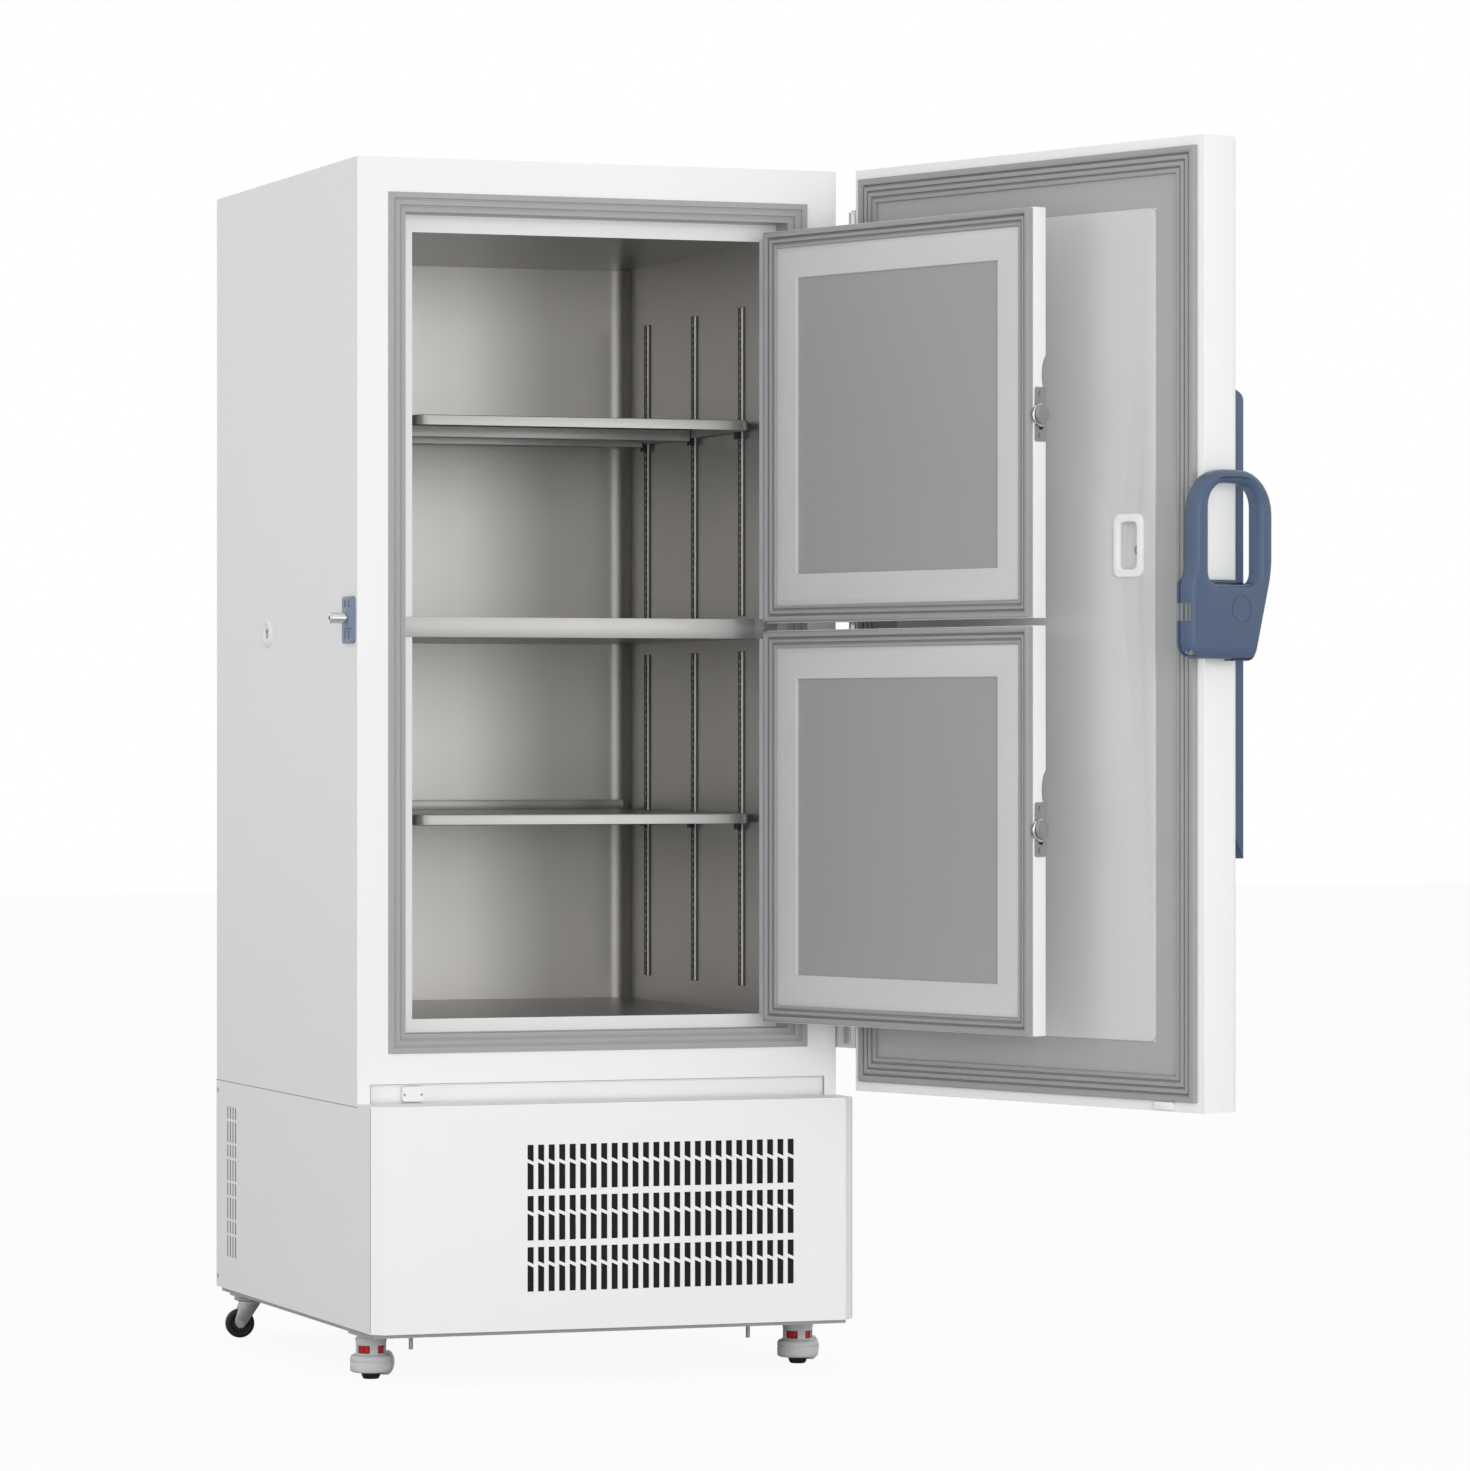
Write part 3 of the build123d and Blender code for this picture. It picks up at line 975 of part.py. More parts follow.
with BuildPart() as fan_motor:
    with Locations((FAN_CENTRE[0], FAN_Y + 95, FAN_CENTRE[1])):
        Cylinder(32, 60, rotation=(90, 0, 0))
    with Locations((FAN_CENTRE[0], FAN_Y + 48, FAN_CENTRE[1])):
        Cylinder(PIN_R, 36, rotation=(90, 0, 0))
    for x, z in ((1, 1), (-1, 1), (1, -1), (-1, -1)):
        with BuildSketch(facing(FAN_Y + 66)) as arm:
            with BuildLine():
                end = (FAN_CENTRE[0] + x * 96, FAN_CENTRE[1] + z * 96)
                Polyline((FAN_CENTRE[0] + x * 16, FAN_CENTRE[1] + z * 22),
                         (FAN_CENTRE[0] + x * 22, FAN_CENTRE[1] + z * 16),
                         (end[0] + x * 3, end[1] - z * 3), (end[0] - x * 3, end[1] + z * 3), close=True)
            make_face()
        extrude(amount=-6)
        with Locations((end[0], FAN_Y + 40 + 16, end[1])):
            Cylinder(4.2, 32, rotation=(90, 0, 0))
keep("fan_motor", fan_motor.part)

with BuildPart() as condenser_fan:
    with Locations((FAN_CENTRE[0], FAN_Y + 45, FAN_CENTRE[1])):
        Cylinder(22, 24, rotation=(90, 0, 0))
    for blade in range(FAN_BLADES):
        angle = blade * 360 / FAN_BLADES
        paddle = Box(46, 3, FAN_R - 18, align=(Align.CENTER, Align.CENTER, Align.MIN), mode=Mode.PRIVATE)
        paddle = Pos(0, 0, 18) * Rot(0, 0, 24) * paddle
        add(Pos(FAN_CENTRE[0], FAN_Y + 45, FAN_CENTRE[1]) * Rot(0, angle, 0) * paddle)
    with Locations((FAN_CENTRE[0], FAN_Y + 45, FAN_CENTRE[1])):
        Cylinder(PIN_R + PIN_CLEARANCE, 60, rotation=(90, 0, 0), mode=Mode.SUBTRACT)
keep("condenser_fan", condenser_fan.part)

with BuildPart() as control_box:
    block(CONTROL_BOX[0], CONTROL_BOX[1], (DECK, CONTROL_BOX[2]))
    fillet(control_box.edges().filter_by(Axis.Z), 4)
    block(inset(CONTROL_BOX[0], SHEET), inset(CONTROL_BOX[1], SHEET), (DECK, CONTROL_BOX[2] - SHEET),
          mode=Mode.SUBTRACT)
keep("fan_shroud_and_control_box", Compound([fan_shroud.part, control_box.part]))

# Casters, drawn about their swivel axis with the wheel trailing to the back
PLATE_Z = (PLATE_BOTTOM, PAN_BOTTOM)
TOP_PLATE = (PLATE_BOTTOM - 6.6, PLATE_BOTTOM - 0.6)


def disc(centre, radius, z, mode=Mode.ADD):
    with Locations((centre[0], centre[1], mid(z))):
        Cylinder(radius, span_length(z), mode=mode)


def cheek(x, y, width, z_low):
    """One side of a fork, from the top plate down round the axle."""
    with BuildSketch(sideways(x[0])) as outline:
        with BuildLine():
            Polyline((-width, TOP_PLATE[0]), (width, TOP_PLATE[0]), (y + width * 0.6, z_low),
                     (y, z_low - width * 0.6), (y - width * 0.6, z_low), close=True)
        make_face()
    extrude(outline.sketch, amount=x[1] - x[0])


def wheel(y, radius, width, z):
    """A wheel with a rounded tread and hub recesses, bored for its axle."""
    with Locations((0, y, z)):
        Cylinder(radius, width, rotation=(0, 90, 0))


with BuildPart() as caster_plate:
    with Locations((0, 0, mid(PLATE_Z))):
        Box(CASTER_PLATE[0], CASTER_PLATE[0], CASTER_PLATE[1])
    fillet(caster_plate.edges().filter_by(Axis.Z), 16)
    disc((0, 0), KINGPIN_R, (TOP_PLATE[0] - 3, PLATE_BOTTOM))
plate_spots = [(side * CASTER_X, y) for y in (FRONT_CASTER_Y, REAR_CASTER_Y) for side in (-1, 1)]
keep("caster_plates", Compound([caster_plate.part.moved(Pos(x, y, 0)) for x, y in plate_spots]))

# Rear caster: steel fork and rubber wheel
half_gap = REAR_WHEEL[1] / 2 + 1.5
with BuildPart() as rear_fork:
    disc((0, 0), 30, TOP_PLATE)
    for x in ((-half_gap - 2.5, -half_gap), (half_gap, half_gap + 2.5)):
        cheek(x, REAR_TRAIL, 19, REAR_WHEEL[0])
    disc((0, 0), KINGPIN_R + AXLE_CLEARANCE, TOP_PLATE, Mode.SUBTRACT)
    with Locations((0, REAR_TRAIL, REAR_WHEEL[0])):
        Cylinder(AXLE_R, 2 * half_gap + 11, rotation=(0, 90, 0))
with BuildPart() as rear_wheel:
    with Locations((0, REAR_TRAIL, REAR_WHEEL[0])):
        Cylinder(REAR_WHEEL[0], REAR_WHEEL[1], rotation=(0, 90, 0))
    fillet(rear_wheel.edges().filter_by(GeomType.CIRCLE), 4)
    for x in (-1, 1):
        with Locations((x * (REAR_WHEEL[1] / 2 - 1.5), REAR_TRAIL, REAR_WHEEL[0])):
            Cylinder(REAR_WHEEL[0] * 0.6, 3, rotation=(0, 90, 0), mode=Mode.SUBTRACT)
            Cylinder(AXLE_R + 4, 3, rotation=(0, 90, 0))
    with Locations((0, REAR_TRAIL, REAR_WHEEL[0])):
        Cylinder(AXLE_R + AXLE_CLEARANCE, 2 * REAR_WHEEL[1], rotation=(0, 90, 0), mode=Mode.SUBTRACT)

# Front caster: levelling type, with a housing round a screwed foot, a dial in the neck and a small wheel
WHEEL_Z = FRONT_WHEEL[0] + FRONT_WHEEL_CLEAR
front_gap = FRONT_WHEEL[1] / 2 + 1.2
with BuildPart() as front_body:
    disc((0, 0), NECK_R, (HOUSING_Z[1], TOP_PLATE[1]))
    disc((0, 0), HOUSING_R, HOUSING_Z)
    fillet(front_body.edges().filter_by_position(Axis.Z, HOUSING_Z[1] - 0.1, HOUSING_Z[1] + 0.1)
           .filter_by(GeomType.CIRCLE).sort_by(SortBy.LENGTH)[-1], 4)
    for x in ((-front_gap - 3, -front_gap), (front_gap, front_gap + 3)):
        with BuildSketch(sideways(x[0])) as arm:
            with BuildLine():
                Polyline((20, HOUSING_Z[0] + 2), (FRONT_TRAIL + 3, HOUSING_Z[0] + 4),
                         (FRONT_TRAIL + 9, WHEEL_Z), (FRONT_TRAIL + 3, WHEEL_Z + 9), (20, HOUSING_Z[1] - 2),
                         close=True)
            make_face()
        extrude(amount=x[1] - x[0])
    with Locations((0, FRONT_TRAIL, WHEEL_Z)):
        Cylinder(FRONT_WHEEL[0] + 1.5, 2 * front_gap, rotation=(0, 90, 0), mode=Mode.SUBTRACT)
        Cylinder(AXLE_R, 2 * front_gap + 8, rotation=(0, 90, 0))
    disc((0, 0), DIAL_R + 0.5, inset(DIAL_Z, -1), Mode.SUBTRACT)
    window_span = (-DIAL_WINDOW / 2, DIAL_WINDOW / 2)
    block((-NECK_R, NECK_R), window_span, inset(DIAL_Z, -1), Mode.SUBTRACT)
    block(window_span, (-NECK_R, NECK_R), inset(DIAL_Z, -1), Mode.SUBTRACT)
    disc((0, 0), STEM_R + PIN_CLEARANCE, (HOUSING_Z[0], TOP_PLATE[0] - 3), Mode.SUBTRACT)
    disc((0, 0), KINGPIN_R + AXLE_CLEARANCE, (TOP_PLATE[0] - 4, TOP_PLATE[1]), Mode.SUBTRACT)
with BuildPart() as front_wheel:
    with Locations((0, FRONT_TRAIL, WHEEL_Z)):
        Cylinder(FRONT_WHEEL[0], FRONT_WHEEL[1], rotation=(0, 90, 0))
    fillet(front_wheel.edges().filter_by(GeomType.CIRCLE), 3)
    with Locations((0, FRONT_TRAIL, WHEEL_Z)):
        Cylinder(AXLE_R + AXLE_CLEARANCE, 2 * FRONT_WHEEL[1], rotation=(0, 90, 0), mode=Mode.SUBTRACT)
with BuildPart() as level_dial:
    disc((0, 0), DIAL_R, DIAL_Z)
    with Locations((0, 0, mid(DIAL_Z))):
        with PolarLocations(DIAL_R, 12):
            Cylinder(2, span_length(DIAL_Z), mode=Mode.SUBTRACT)
    disc((0, 0), STEM_R + 0.3, DIAL_Z, Mode.SUBTRACT)
with BuildPart() as level_foot:
    disc((0, 0), FOOT_R, (0, FOOT_HEIGHT))
    fillet(level_foot.edges().filter_by(GeomType.CIRCLE), 1.5)
    disc((0, 0), STEM_R, (FOOT_HEIGHT, TOP_PLATE[0] - 5))

for side, spot, turn in (("left", -CASTER_X, FRONT_TURNED), ("right", CASTER_X, FRONT_TURNED)):
    stands = Pos(spot, FRONT_CASTER_Y, 0) * Rot(0, 0, turn)
    keep(f"front_caster_{side}", front_body.part, stands)
    keep(f"front_wheel_{side}", front_wheel.part, stands)
    keep(f"level_dial_{side}", level_dial.part, stands)
    keep(f"level_foot_{side}", level_foot.part, stands)
for side, spot, turn in (("left", -CASTER_X, REAR_TURNED), ("right", CASTER_X, REAR_TURNED)):
    stands = Pos(spot, REAR_CASTER_Y, 0) * Rot(0, 0, turn)
    keep(f"rear_fork_{side}", rear_fork.part, stands)
    keep(f"rear_wheel_{side}", rear_wheel.part, stands)

# The frame's origin lies on the floor under the middle of the object as it stands
bounds = Compound(list(pieces.values())).bounding_box()
CENTRE = (bounds.center().X, bounds.center().Y)
os.makedirs("parts", exist_ok=True)
for name, shape in pieces.items():
    shape.position = (shape.position.X - CENTRE[0], shape.position.Y - CENTRE[1], shape.position.Z)
    shape.label = name
    export_step(shape, f"parts/{name}.step")
print("nodes", len(pieces), "centre", CENTRE, "size", bounds.size)
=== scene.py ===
import json
import math

import bmesh
import bpy
from mathutils import Matrix, Vector


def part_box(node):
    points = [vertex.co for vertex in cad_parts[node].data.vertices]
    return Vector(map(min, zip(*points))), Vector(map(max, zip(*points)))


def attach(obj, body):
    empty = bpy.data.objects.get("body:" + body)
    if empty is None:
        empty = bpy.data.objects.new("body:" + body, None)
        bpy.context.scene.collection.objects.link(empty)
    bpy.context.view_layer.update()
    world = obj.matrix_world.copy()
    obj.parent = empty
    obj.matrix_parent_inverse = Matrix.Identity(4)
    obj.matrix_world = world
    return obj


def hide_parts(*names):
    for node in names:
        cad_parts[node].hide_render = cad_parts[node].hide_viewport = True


# Upright ultra low temperature freezer, standing with its outer door and two inner doors open.
# The pieces are drawn in millimetres like the cabinet: X right from its middle, Y back from its front
# face, Z up from the floor, with every door closed. They are then turned open and set in the frame.

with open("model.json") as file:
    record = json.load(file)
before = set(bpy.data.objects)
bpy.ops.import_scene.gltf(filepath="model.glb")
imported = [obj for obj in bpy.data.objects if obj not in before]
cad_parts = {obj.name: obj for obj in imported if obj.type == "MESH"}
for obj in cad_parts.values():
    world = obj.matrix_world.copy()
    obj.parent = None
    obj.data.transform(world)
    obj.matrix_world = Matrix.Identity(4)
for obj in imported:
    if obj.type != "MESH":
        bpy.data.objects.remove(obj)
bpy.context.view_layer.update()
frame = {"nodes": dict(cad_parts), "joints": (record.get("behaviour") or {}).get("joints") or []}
nodes = frame["nodes"]
joints = {joint["name"]: joint for joint in frame["joints"]}

# The cabinet as it stands in the frame, and the step from the drawing to the frame
MM = 0.001
case_low, case_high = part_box("outer_case")
CABINET_AT = Vector(((case_low.x + case_high.x) / 2, case_low.y, 0))
HALF = (case_high.x - case_low.x) / 2 / MM
DEPTH = (case_high.y - case_low.y) / MM
TO_FRAME = Matrix.Translation(CABINET_AT) @ Matrix.Scale(MM, 4)

# Ridged frame round the opening, and how far in from its outer edge the recess wall stands
FRAME_X, FRAME_Z = (-361.0, 361.0), (530.4, 1924.0)
RECESS = 31.0
# Inside of the steel chamber, from the seat that the inner doors close against to its back wall
CHAMBER_X, CHAMBER_Z = (-301.5, 301.5), (583.0, 1865.0)
SEAT_Y, CHAMBER_BACK = 64.0, 758.0
DIVIDER_Z = (1205.6, 1238.2)
SHELF_TOPS = {"upper": 1569.2, "lower": 915.4}
RAIL_YS = (152.0, 388.0, 635.0)
RAIL_SPANS = ((626.0, 1186.0), (1245.0, 1762.0))
# Outer door, with its inner and outer face
DOOR_X, DOOR_Z = (-409.0, 413.0), (459.0, 1977.0)
DOOR_IN, DOOR_OUT = -15.0, -90.0
# Inner doors, with their front and back face and the middle of their latches
INNER_X = (-321.5, 325.5)
INNER_Z = {"upper": (1230.0, 1876.0), "lower": (572.0, 1218.0)}
INNER_FRONT, INNER_BACK = 20.0, 48.0
LATCH_Z = {"upper": 1550.0, "lower": 897.0}

# Directions in the drawing
UP, RIGHT, LEFT, BACK, FRONT = (0, 0, 1), (1, 0, 0), (-1, 0, 0), (0, 1, 0), (0, -1, 0)


def turned(joint, degrees):
    """Rotation, in drawing millimetres, about the upright axis of a door's hinge."""
    pivot = TO_FRAME.inverted() @ Vector(joint["pos_m"])
    turn = Matrix.Rotation(math.radians(degrees), 4, "Z")
    return Matrix.Translation(pivot) @ turn @ Matrix.Translation(-pivot)


# All three doors stand open by the same angle
DOOR_OPEN = 110.2
OUTER = turned(joints["outer_door_hinge"], DOOR_OPEN)
INNER = turned(joints["inner_door_upper_hinge"], DOOR_OPEN)
CLOSED = Matrix.Identity(4)


# Shader helpers
def linear(hex_colour):
    """sRGB hex to linear RGBA."""
    channels = [int(hex_colour[i:i + 2], 16) / 255 for i in (1, 3, 5)]
    return [c / 12.92 if c <= 0.04045 else ((c + 0.055) / 1.055) ** 2.4 for c in channels] + [1.0]


def add(tree, kind, values=None, links=None, **settings):
    """Add one shader node with its settings, socket values and links from (node, output)."""
    made = tree.nodes.new(kind)
    for key, value in settings.items():
        setattr(made, key, value)
    for key, value in (values or {}).items():
        made.inputs[key].default_value = value
    for key, (source, output) in (links or {}).items():
        tree.links.new(source.outputs[output], made.inputs[key])
    return made


def finish_of(name, light, dark, roughness, spread, patch, grain, bump, stretch=(1, 1, 1), **extra):
    """A material: two close tones in patches, fine grain in roughness and bump, sizes in metres."""
    material = bpy.data.materials.new(name)
    material.use_nodes = True
    tree = material.node_tree
    tree.nodes.clear()
    place = add(tree, "ShaderNodeTexCoord")
    stretched = add(tree, "ShaderNodeMapping", {"Scale": stretch}, {"Vector": (place, "Object")})
    tone = add(tree, "ShaderNodeTexNoise", {"Scale": 1 / patch, "Detail": 3.0},
               {"Vector": (place, "Object")})
    fine = add(tree, "ShaderNodeTexNoise", {"Scale": 1 / grain, "Detail": 2.0},
               {"Vector": (stretched, "Vector")})
    colour = add(tree, "ShaderNodeMix", {"A": linear(dark), "B": linear(light)}, None, data_type="RGBA")
    tree.links.new(tone.outputs["Fac"], colour.inputs["Factor"])
    gloss = add(tree, "ShaderNodeMapRange", {"To Min": roughness - spread, "To Max": roughness + spread},
                {"Value": (fine, "Fac")})
    relief = add(tree, "ShaderNodeBump", {"Strength": bump, "Distance": grain / 4},
                 {"Height": (fine, "Fac")})
    shader = add(tree, "ShaderNodeBsdfPrincipled", extra,
                 {"Base Color": (colour, "Result"), "Roughness": (gloss, "Result"),
                  "Normal": (relief, "Normal")})
    add(tree, "ShaderNodeOutputMaterial", None, {"Surface": (shader, "BSDF")})
    return material


# Materials: light and dark tone, roughness and its spread, size of the patches of tone, size of the grain and
# strength of its bump, and for brushed or finned metal how far the grain is drawn out along each axis

# Polyester powder coat on sheet steel: broad satin white faces with a faint orange peel
POWDER_COAT = finish_of("white_powder_coat", "#F4F5F4", "#F1F2F1", 0.42, 0.05, 0.35, 0.0025, 0.03)
# Moulded ABS of gasket seat, inner doors, port cap and rims: a shade darker and smoother than the paint
ABS_WHITE = finish_of("moulded_abs_white", "#F3F3F3", "#EEEFEF", 0.36, 0.05, 0.2, 0.0012, 0.03)
# The same plastic with a light grey pigment, deepened to a mid grey by painted shade of its grooves: the grey
# band of ridges round the opening
ABS_GREY = finish_of("moulded_abs_light_grey", "#A8A9AA", "#A3A4A5", 0.4, 0.05, 0.2, 0.0012, 0.03)
# PVC of the door gaskets: soft mid grey ribs with a dull, slightly greasy shine
GASKET = finish_of("pvc_gasket_grey", "#A1A2A3", "#9B9C9D", 0.48, 0.06, 0.08, 0.001, 0.05)
# Stainless steel 304 of the chamber: a warm grey mirror blurred by fine brushing, which is drawn coarser
# than the real 0.1 mm so that it shows
LINER_STEEL = finish_of("brushed_stainless_liner", "#D2D0CD", "#CAC8C5", 0.34, 0.05, 0.4, 0.0008, 0.04,
                        (0.03, 0.03, 1.0), Metallic=0.92)
# The same steel, darker and less of a mirror, so that shelves and partition stand out from the walls
SHELF_STEEL = finish_of("brushed_stainless_shelf", "#B9B8B6", "#B2B1AF", 0.34, 0.05, 0.4, 0.0008, 0.04,
                        (0.03, 1.0, 1.0), Metallic=0.85)
# Polished stainless strip of the rails, with a painted highlight: drawn as a near white satin surface and not
# as a metal, so that it stays light where it shows through their slots
RAIL_PAINTED_HIGHLIGHT = finish_of("polished_stainless_rail", "#FBFBFA", "#F6F6F5", 0.3, 0.04, 0.05, 0.0008, 0.02)
# Crowns and brims of those rails: dull steel with the shade of the wall painted in, the dark bars between the
# slots
RAIL_PAINTED_SHADE = finish_of("shaded_stainless_rail", "#55534F", "#4B4A46", 0.4, 0.05, 0.05, 0.0008, 0.03)
# Painted shadow in the seams between painted panels: a dull mid grey line
SEAM_SHADOW_GREY = finish_of("grey_seam_sealant", "#8B8C8D", "#7F8081", 0.6, 0.06, 0.02, 0.001, 0.05)
# Laminated sheet in the middle of the inner doors: an even mid grey with a weak sheen
SHEET_MID = finish_of("laminated_sheet_mid_grey", "#A6A6A5", "#A09F9E", 0.45, 0.04, 0.5, 0.002, 0.02)
# Moulded ABS with a pale grey pigment: the light raised border round that sheet
BORDER_GREY = finish_of("moulded_abs_border_grey", "#D3D4D4", "#CDCECE", 0.4, 0.05, 0.2, 0.0012, 0.03)
# Grey acetal: the small key mark on the cap of the service port
KEY_GREY = finish_of("grey_acetal", "#8D9093", "#85888B", 0.4, 0.05, 0.02, 0.001, 0.04)
# Laminated sheet in the middle of the outer door: a light grey field with a weak sheen
SHEET_LIGHT = finish_of("laminated_sheet_light_grey", "#D3D3D3", "#CDCDCD", 0.4, 0.04, 0.5, 0.002, 0.02)
# Sheet liner of the outer door: the darker grey band between its middle and its gasket
SHEET_BAND = finish_of("door_liner_grey", "#AEAFAF", "#A8A9A9", 0.42, 0.04, 0.4, 0.002, 0.02)
# Glass-filled nylon of handle and trim: blue grey with a long highlight over a fine spark-eroded grain
HANDLE_BLUE = finish_of("blue_grey_nylon", "#4B5D78", "#465772", 0.28, 0.06, 0.06, 0.0008, 0.06)
# The same nylon, darker: the clip that wraps the lower corner of the lever
CLIP_BLUE = finish_of("dark_blue_nylon", "#33425A", "#2D3A50", 0.3, 0.05, 0.02, 0.0008, 0.04)
# Painted casting of the striker: a lighter and duller blue grey than the handle
STRIKER_BLUE = finish_of("blue_grey_cast", "#76879F", "#6F8098", 0.4, 0.06, 0.06, 0.0008, 0.06)
# Bright nickel on pins, hinges and latch hooks: small, clear highlights
NICKEL = finish_of("bright_nickel", "#DCDCDB", "#CFCFCD", 0.14, 0.04, 0.02, 0.0015, 0.02, Metallic=1.0)
# Blackened steel of the latch screws, and painted shade on the catch claw so that the handle's mouth shows
# dark: only a dark gleam
BLACK_OXIDE_AND_MOUTH_SHADE = finish_of("black_oxide_steel", "#26282C", "#1F2022", 0.7, 0.06, 0.02, 0.001, 0.04)
# Satin nickel on latch plates and knobs: a soft grey metal
SATIN_NICKEL = finish_of("satin_nickel", "#B9B8B4", "#AEADA9", 0.32, 0.05, 0.02, 0.0008, 0.04, Metallic=1.0)
# Zinc plate on caster plates, forks, foot stems and screws: a bluish metal with a soft spangle
ZINC = finish_of("bright_zinc_plate", "#C8CACB", "#B6B8BA", 0.32, 0.08, 0.01, 0.002, 0.05, Metallic=1.0)
# Galvanised sheet of base pan, fan shroud and control box: duller, with a larger spangle
GALVANISED = finish_of("hot_dip_galvanised_sheet", "#B9BBBC", "#A8AAAB", 0.42, 0.08, 0.012, 0.004, 0.05,
                       Metallic=0.85)
# Painted die casting of the levelling casters: pale grey with a slightly rough skin
CAST_GREY = finish_of("painted_die_casting", "#CFD0D0", "#C6C7C7", 0.42, 0.06, 0.03, 0.0012, 0.08)
# Nylon of the levelling casters' wheels: a warm, dull off-white
NYLON_WHITE = finish_of("caster_nylon", "#D6D5D1", "#CCCBC6", 0.45, 0.05, 0.02, 0.001, 0.05)
# Red acetal of the levelling dials: the one strong spot of colour low on the object
DIAL_RED = finish_of("red_acetal", "#C4151C", "#A30F16", 0.35, 0.05, 0.01, 0.001, 0.04)
# Rubber of wheels and feet: near black with a dusty bloom
RUBBER = finish_of("black_rubber", "#1B1B1C", "#121213", 0.55, 0.1, 0.02, 0.0012, 0.12)
# Black polyamide of fan, clips, hubs, mains inlet and vent inserts: black with a weak shine
BLACK_PLASTIC = finish_of("black_polyamide", "#161617", "#101011", 0.4, 0.06, 0.02, 0.001, 0.06)
# Semi-gloss black paint on compressors and fan motor: black with round, soft highlights
BLACK_PAINT = finish_of("semi_gloss_black_paint", "#1A1A1B", "#141415", 0.35, 0.06, 0.05, 0.002, 0.06)
# Open cell foam of the air filter: the matt, porous black behind the grille's slots
FILTER = finish_of("open_cell_filter_foam", "#19191A", "#060606", 0.85, 0.05, 0.004, 0.0025, 0.6)
# Polyurethane foam inside the walls and the outer door: pale yellow, matt and uneven
FOAM = finish_of("polyurethane_foam", "#E7DDB8", "#D8CB9F", 0.8, 0.05, 0.03, 0.003, 0.4)
# Barrier foil of the vacuum panels: silver with soft creases
FOIL = finish_of("barrier_foil", "#C9CBCE", "#B7B9BC", 0.3, 0.08, 0.03, 0.008, 0.3, Metallic=1.0)
# Copper of the evaporator tube: a reddish drawn metal
COPPER = finish_of("drawn_copper_tube", "#C9794F", "#B3653D", 0.3, 0.06, 0.02, 0.002, 0.04, Metallic=1.0)
# Aluminium fins of the condenser: grey metal with close upright lines
FINS = finish_of("aluminium_fin_stock", "#B4B7BA", "#9FA2A5", 0.38, 0.06, 0.02, 0.0018, 0.5, (1.0, 1.0, 0.02),
                 Metallic=1.0)
# Tinted screen of the control panel: a dark blue black mirror
SCREEN = finish_of("tinted_screen", "#0E1A22", "#0B151C", 0.08, 0.02, 0.1, 0.002, 0.0)


# Mesh helpers: square corners of a plate, distance at which points merge, angle from which an edge is sharp
SQUARE = (0, 0, 0, 0)
WELD = 0.001
SHARP = 40.0


def mid(span):
    """Middle of a span."""
    return (span[0] + span[1]) / 2


def inset(span, amount):
    """A span drawn in at both ends."""
    return (span[0] + amount, span[1] - amount)


def around(middle, half):
    """The span of a half width to both sides of a middle."""
    return (middle - half, middle + half)


def rectangle(x, y, z):
    """Corner points of an upright rectangle at a depth, from its spans."""
    return [(x[0], y, z[0]), (x[1], y, z[0]), (x[1], y, z[1]), (x[0], y, z[1])]


def side_on(x, outline):
    """Points of an outline that is drawn from the side as (y, z), at an x."""
    return [(x, y, z) for y, z in outline]


def side_rectangle(x, y, z):
    """Corner points of an upright rectangle seen from the side, from its spans."""
    return side_on(x, ((y[0], z[0]), (y[1], z[0]), (y[1], z[1]), (y[0], z[1])))


def vertices_of(grown):
    """The vertices among all that a mesh operator made."""
    return [part for part in grown["geom"] if isinstance(part, bmesh.types.BMVert)]


def slab(bm, x, y, z):
    """A box between three pairs of values; returns its vertices."""
    size = Matrix.Diagonal((abs(x[1] - x[0]), abs(y[1] - y[0]), abs(z[1] - z[0]), 1))
    place = Matrix.Translation((mid(x), mid(y), mid(z)))
    return bmesh.ops.create_cube(bm, size=1, matrix=place @ size)["verts"]


def chain(bm, points, closed):
    """Vertices at the points, joined by edges."""
    verts = [bm.verts.new(point) for point in points]
    ends = verts[1:] + verts[:1] if closed else verts[1:]
    edges = [bm.edges.new(pair) for pair in zip(verts, ends)]
    return verts, edges


def picture_frame(bm, profile, x, z):
    """Carry a closed section of (inset, y) points round a rectangle with mitred corners."""
    centre = Matrix.Translation((-mid(x), 0, -mid(z)))
    verts, edges = chain(bm, [(x[0] + step, y, z[0] + step) for step, y in profile], True)
    for flip in ((-1, 1, 1), (1, 1, -1)) * 2:
        grown = bmesh.ops.extrude_edge_only(bm, edges=edges)
        verts = vertices_of(grown)
        edges = [part for part in grown["geom"] if isinstance(part, bmesh.types.BMEdge)
                 and part.verts[0] in verts and part.verts[1] in verts]
        bmesh.ops.scale(bm, vec=flip, space=centre, verts=verts)
    bmesh.ops.remove_doubles(bm, verts=bm.verts, dist=WELD)


def lathe(bm, profile, at, along, steps=48):
    """Spin a line of (radius, distance) points about an axis through a point."""
    along = Vector(along)
    side = along.orthogonal().normalized()
    points = [Vector(at) + side * radius + along * reach for radius, reach in profile]
    verts, edges = chain(bm, points, False)
    bmesh.ops.spin(bm, geom=verts + edges, cent=at, axis=along, angle=math.tau, steps=steps, use_merge=True)
    bmesh.ops.remove_doubles(bm, verts=bm.verts, dist=WELD)


def rod(bm, radius, at, along, length, edge=1.0, steps=32):
    """A round bar from a point along an axis, with eased ends."""
    lathe(bm, [(0, 0), (radius - edge, 0), (radius, edge), (radius, length - edge), (radius - edge, length),
               (0, length)], at, along, steps)


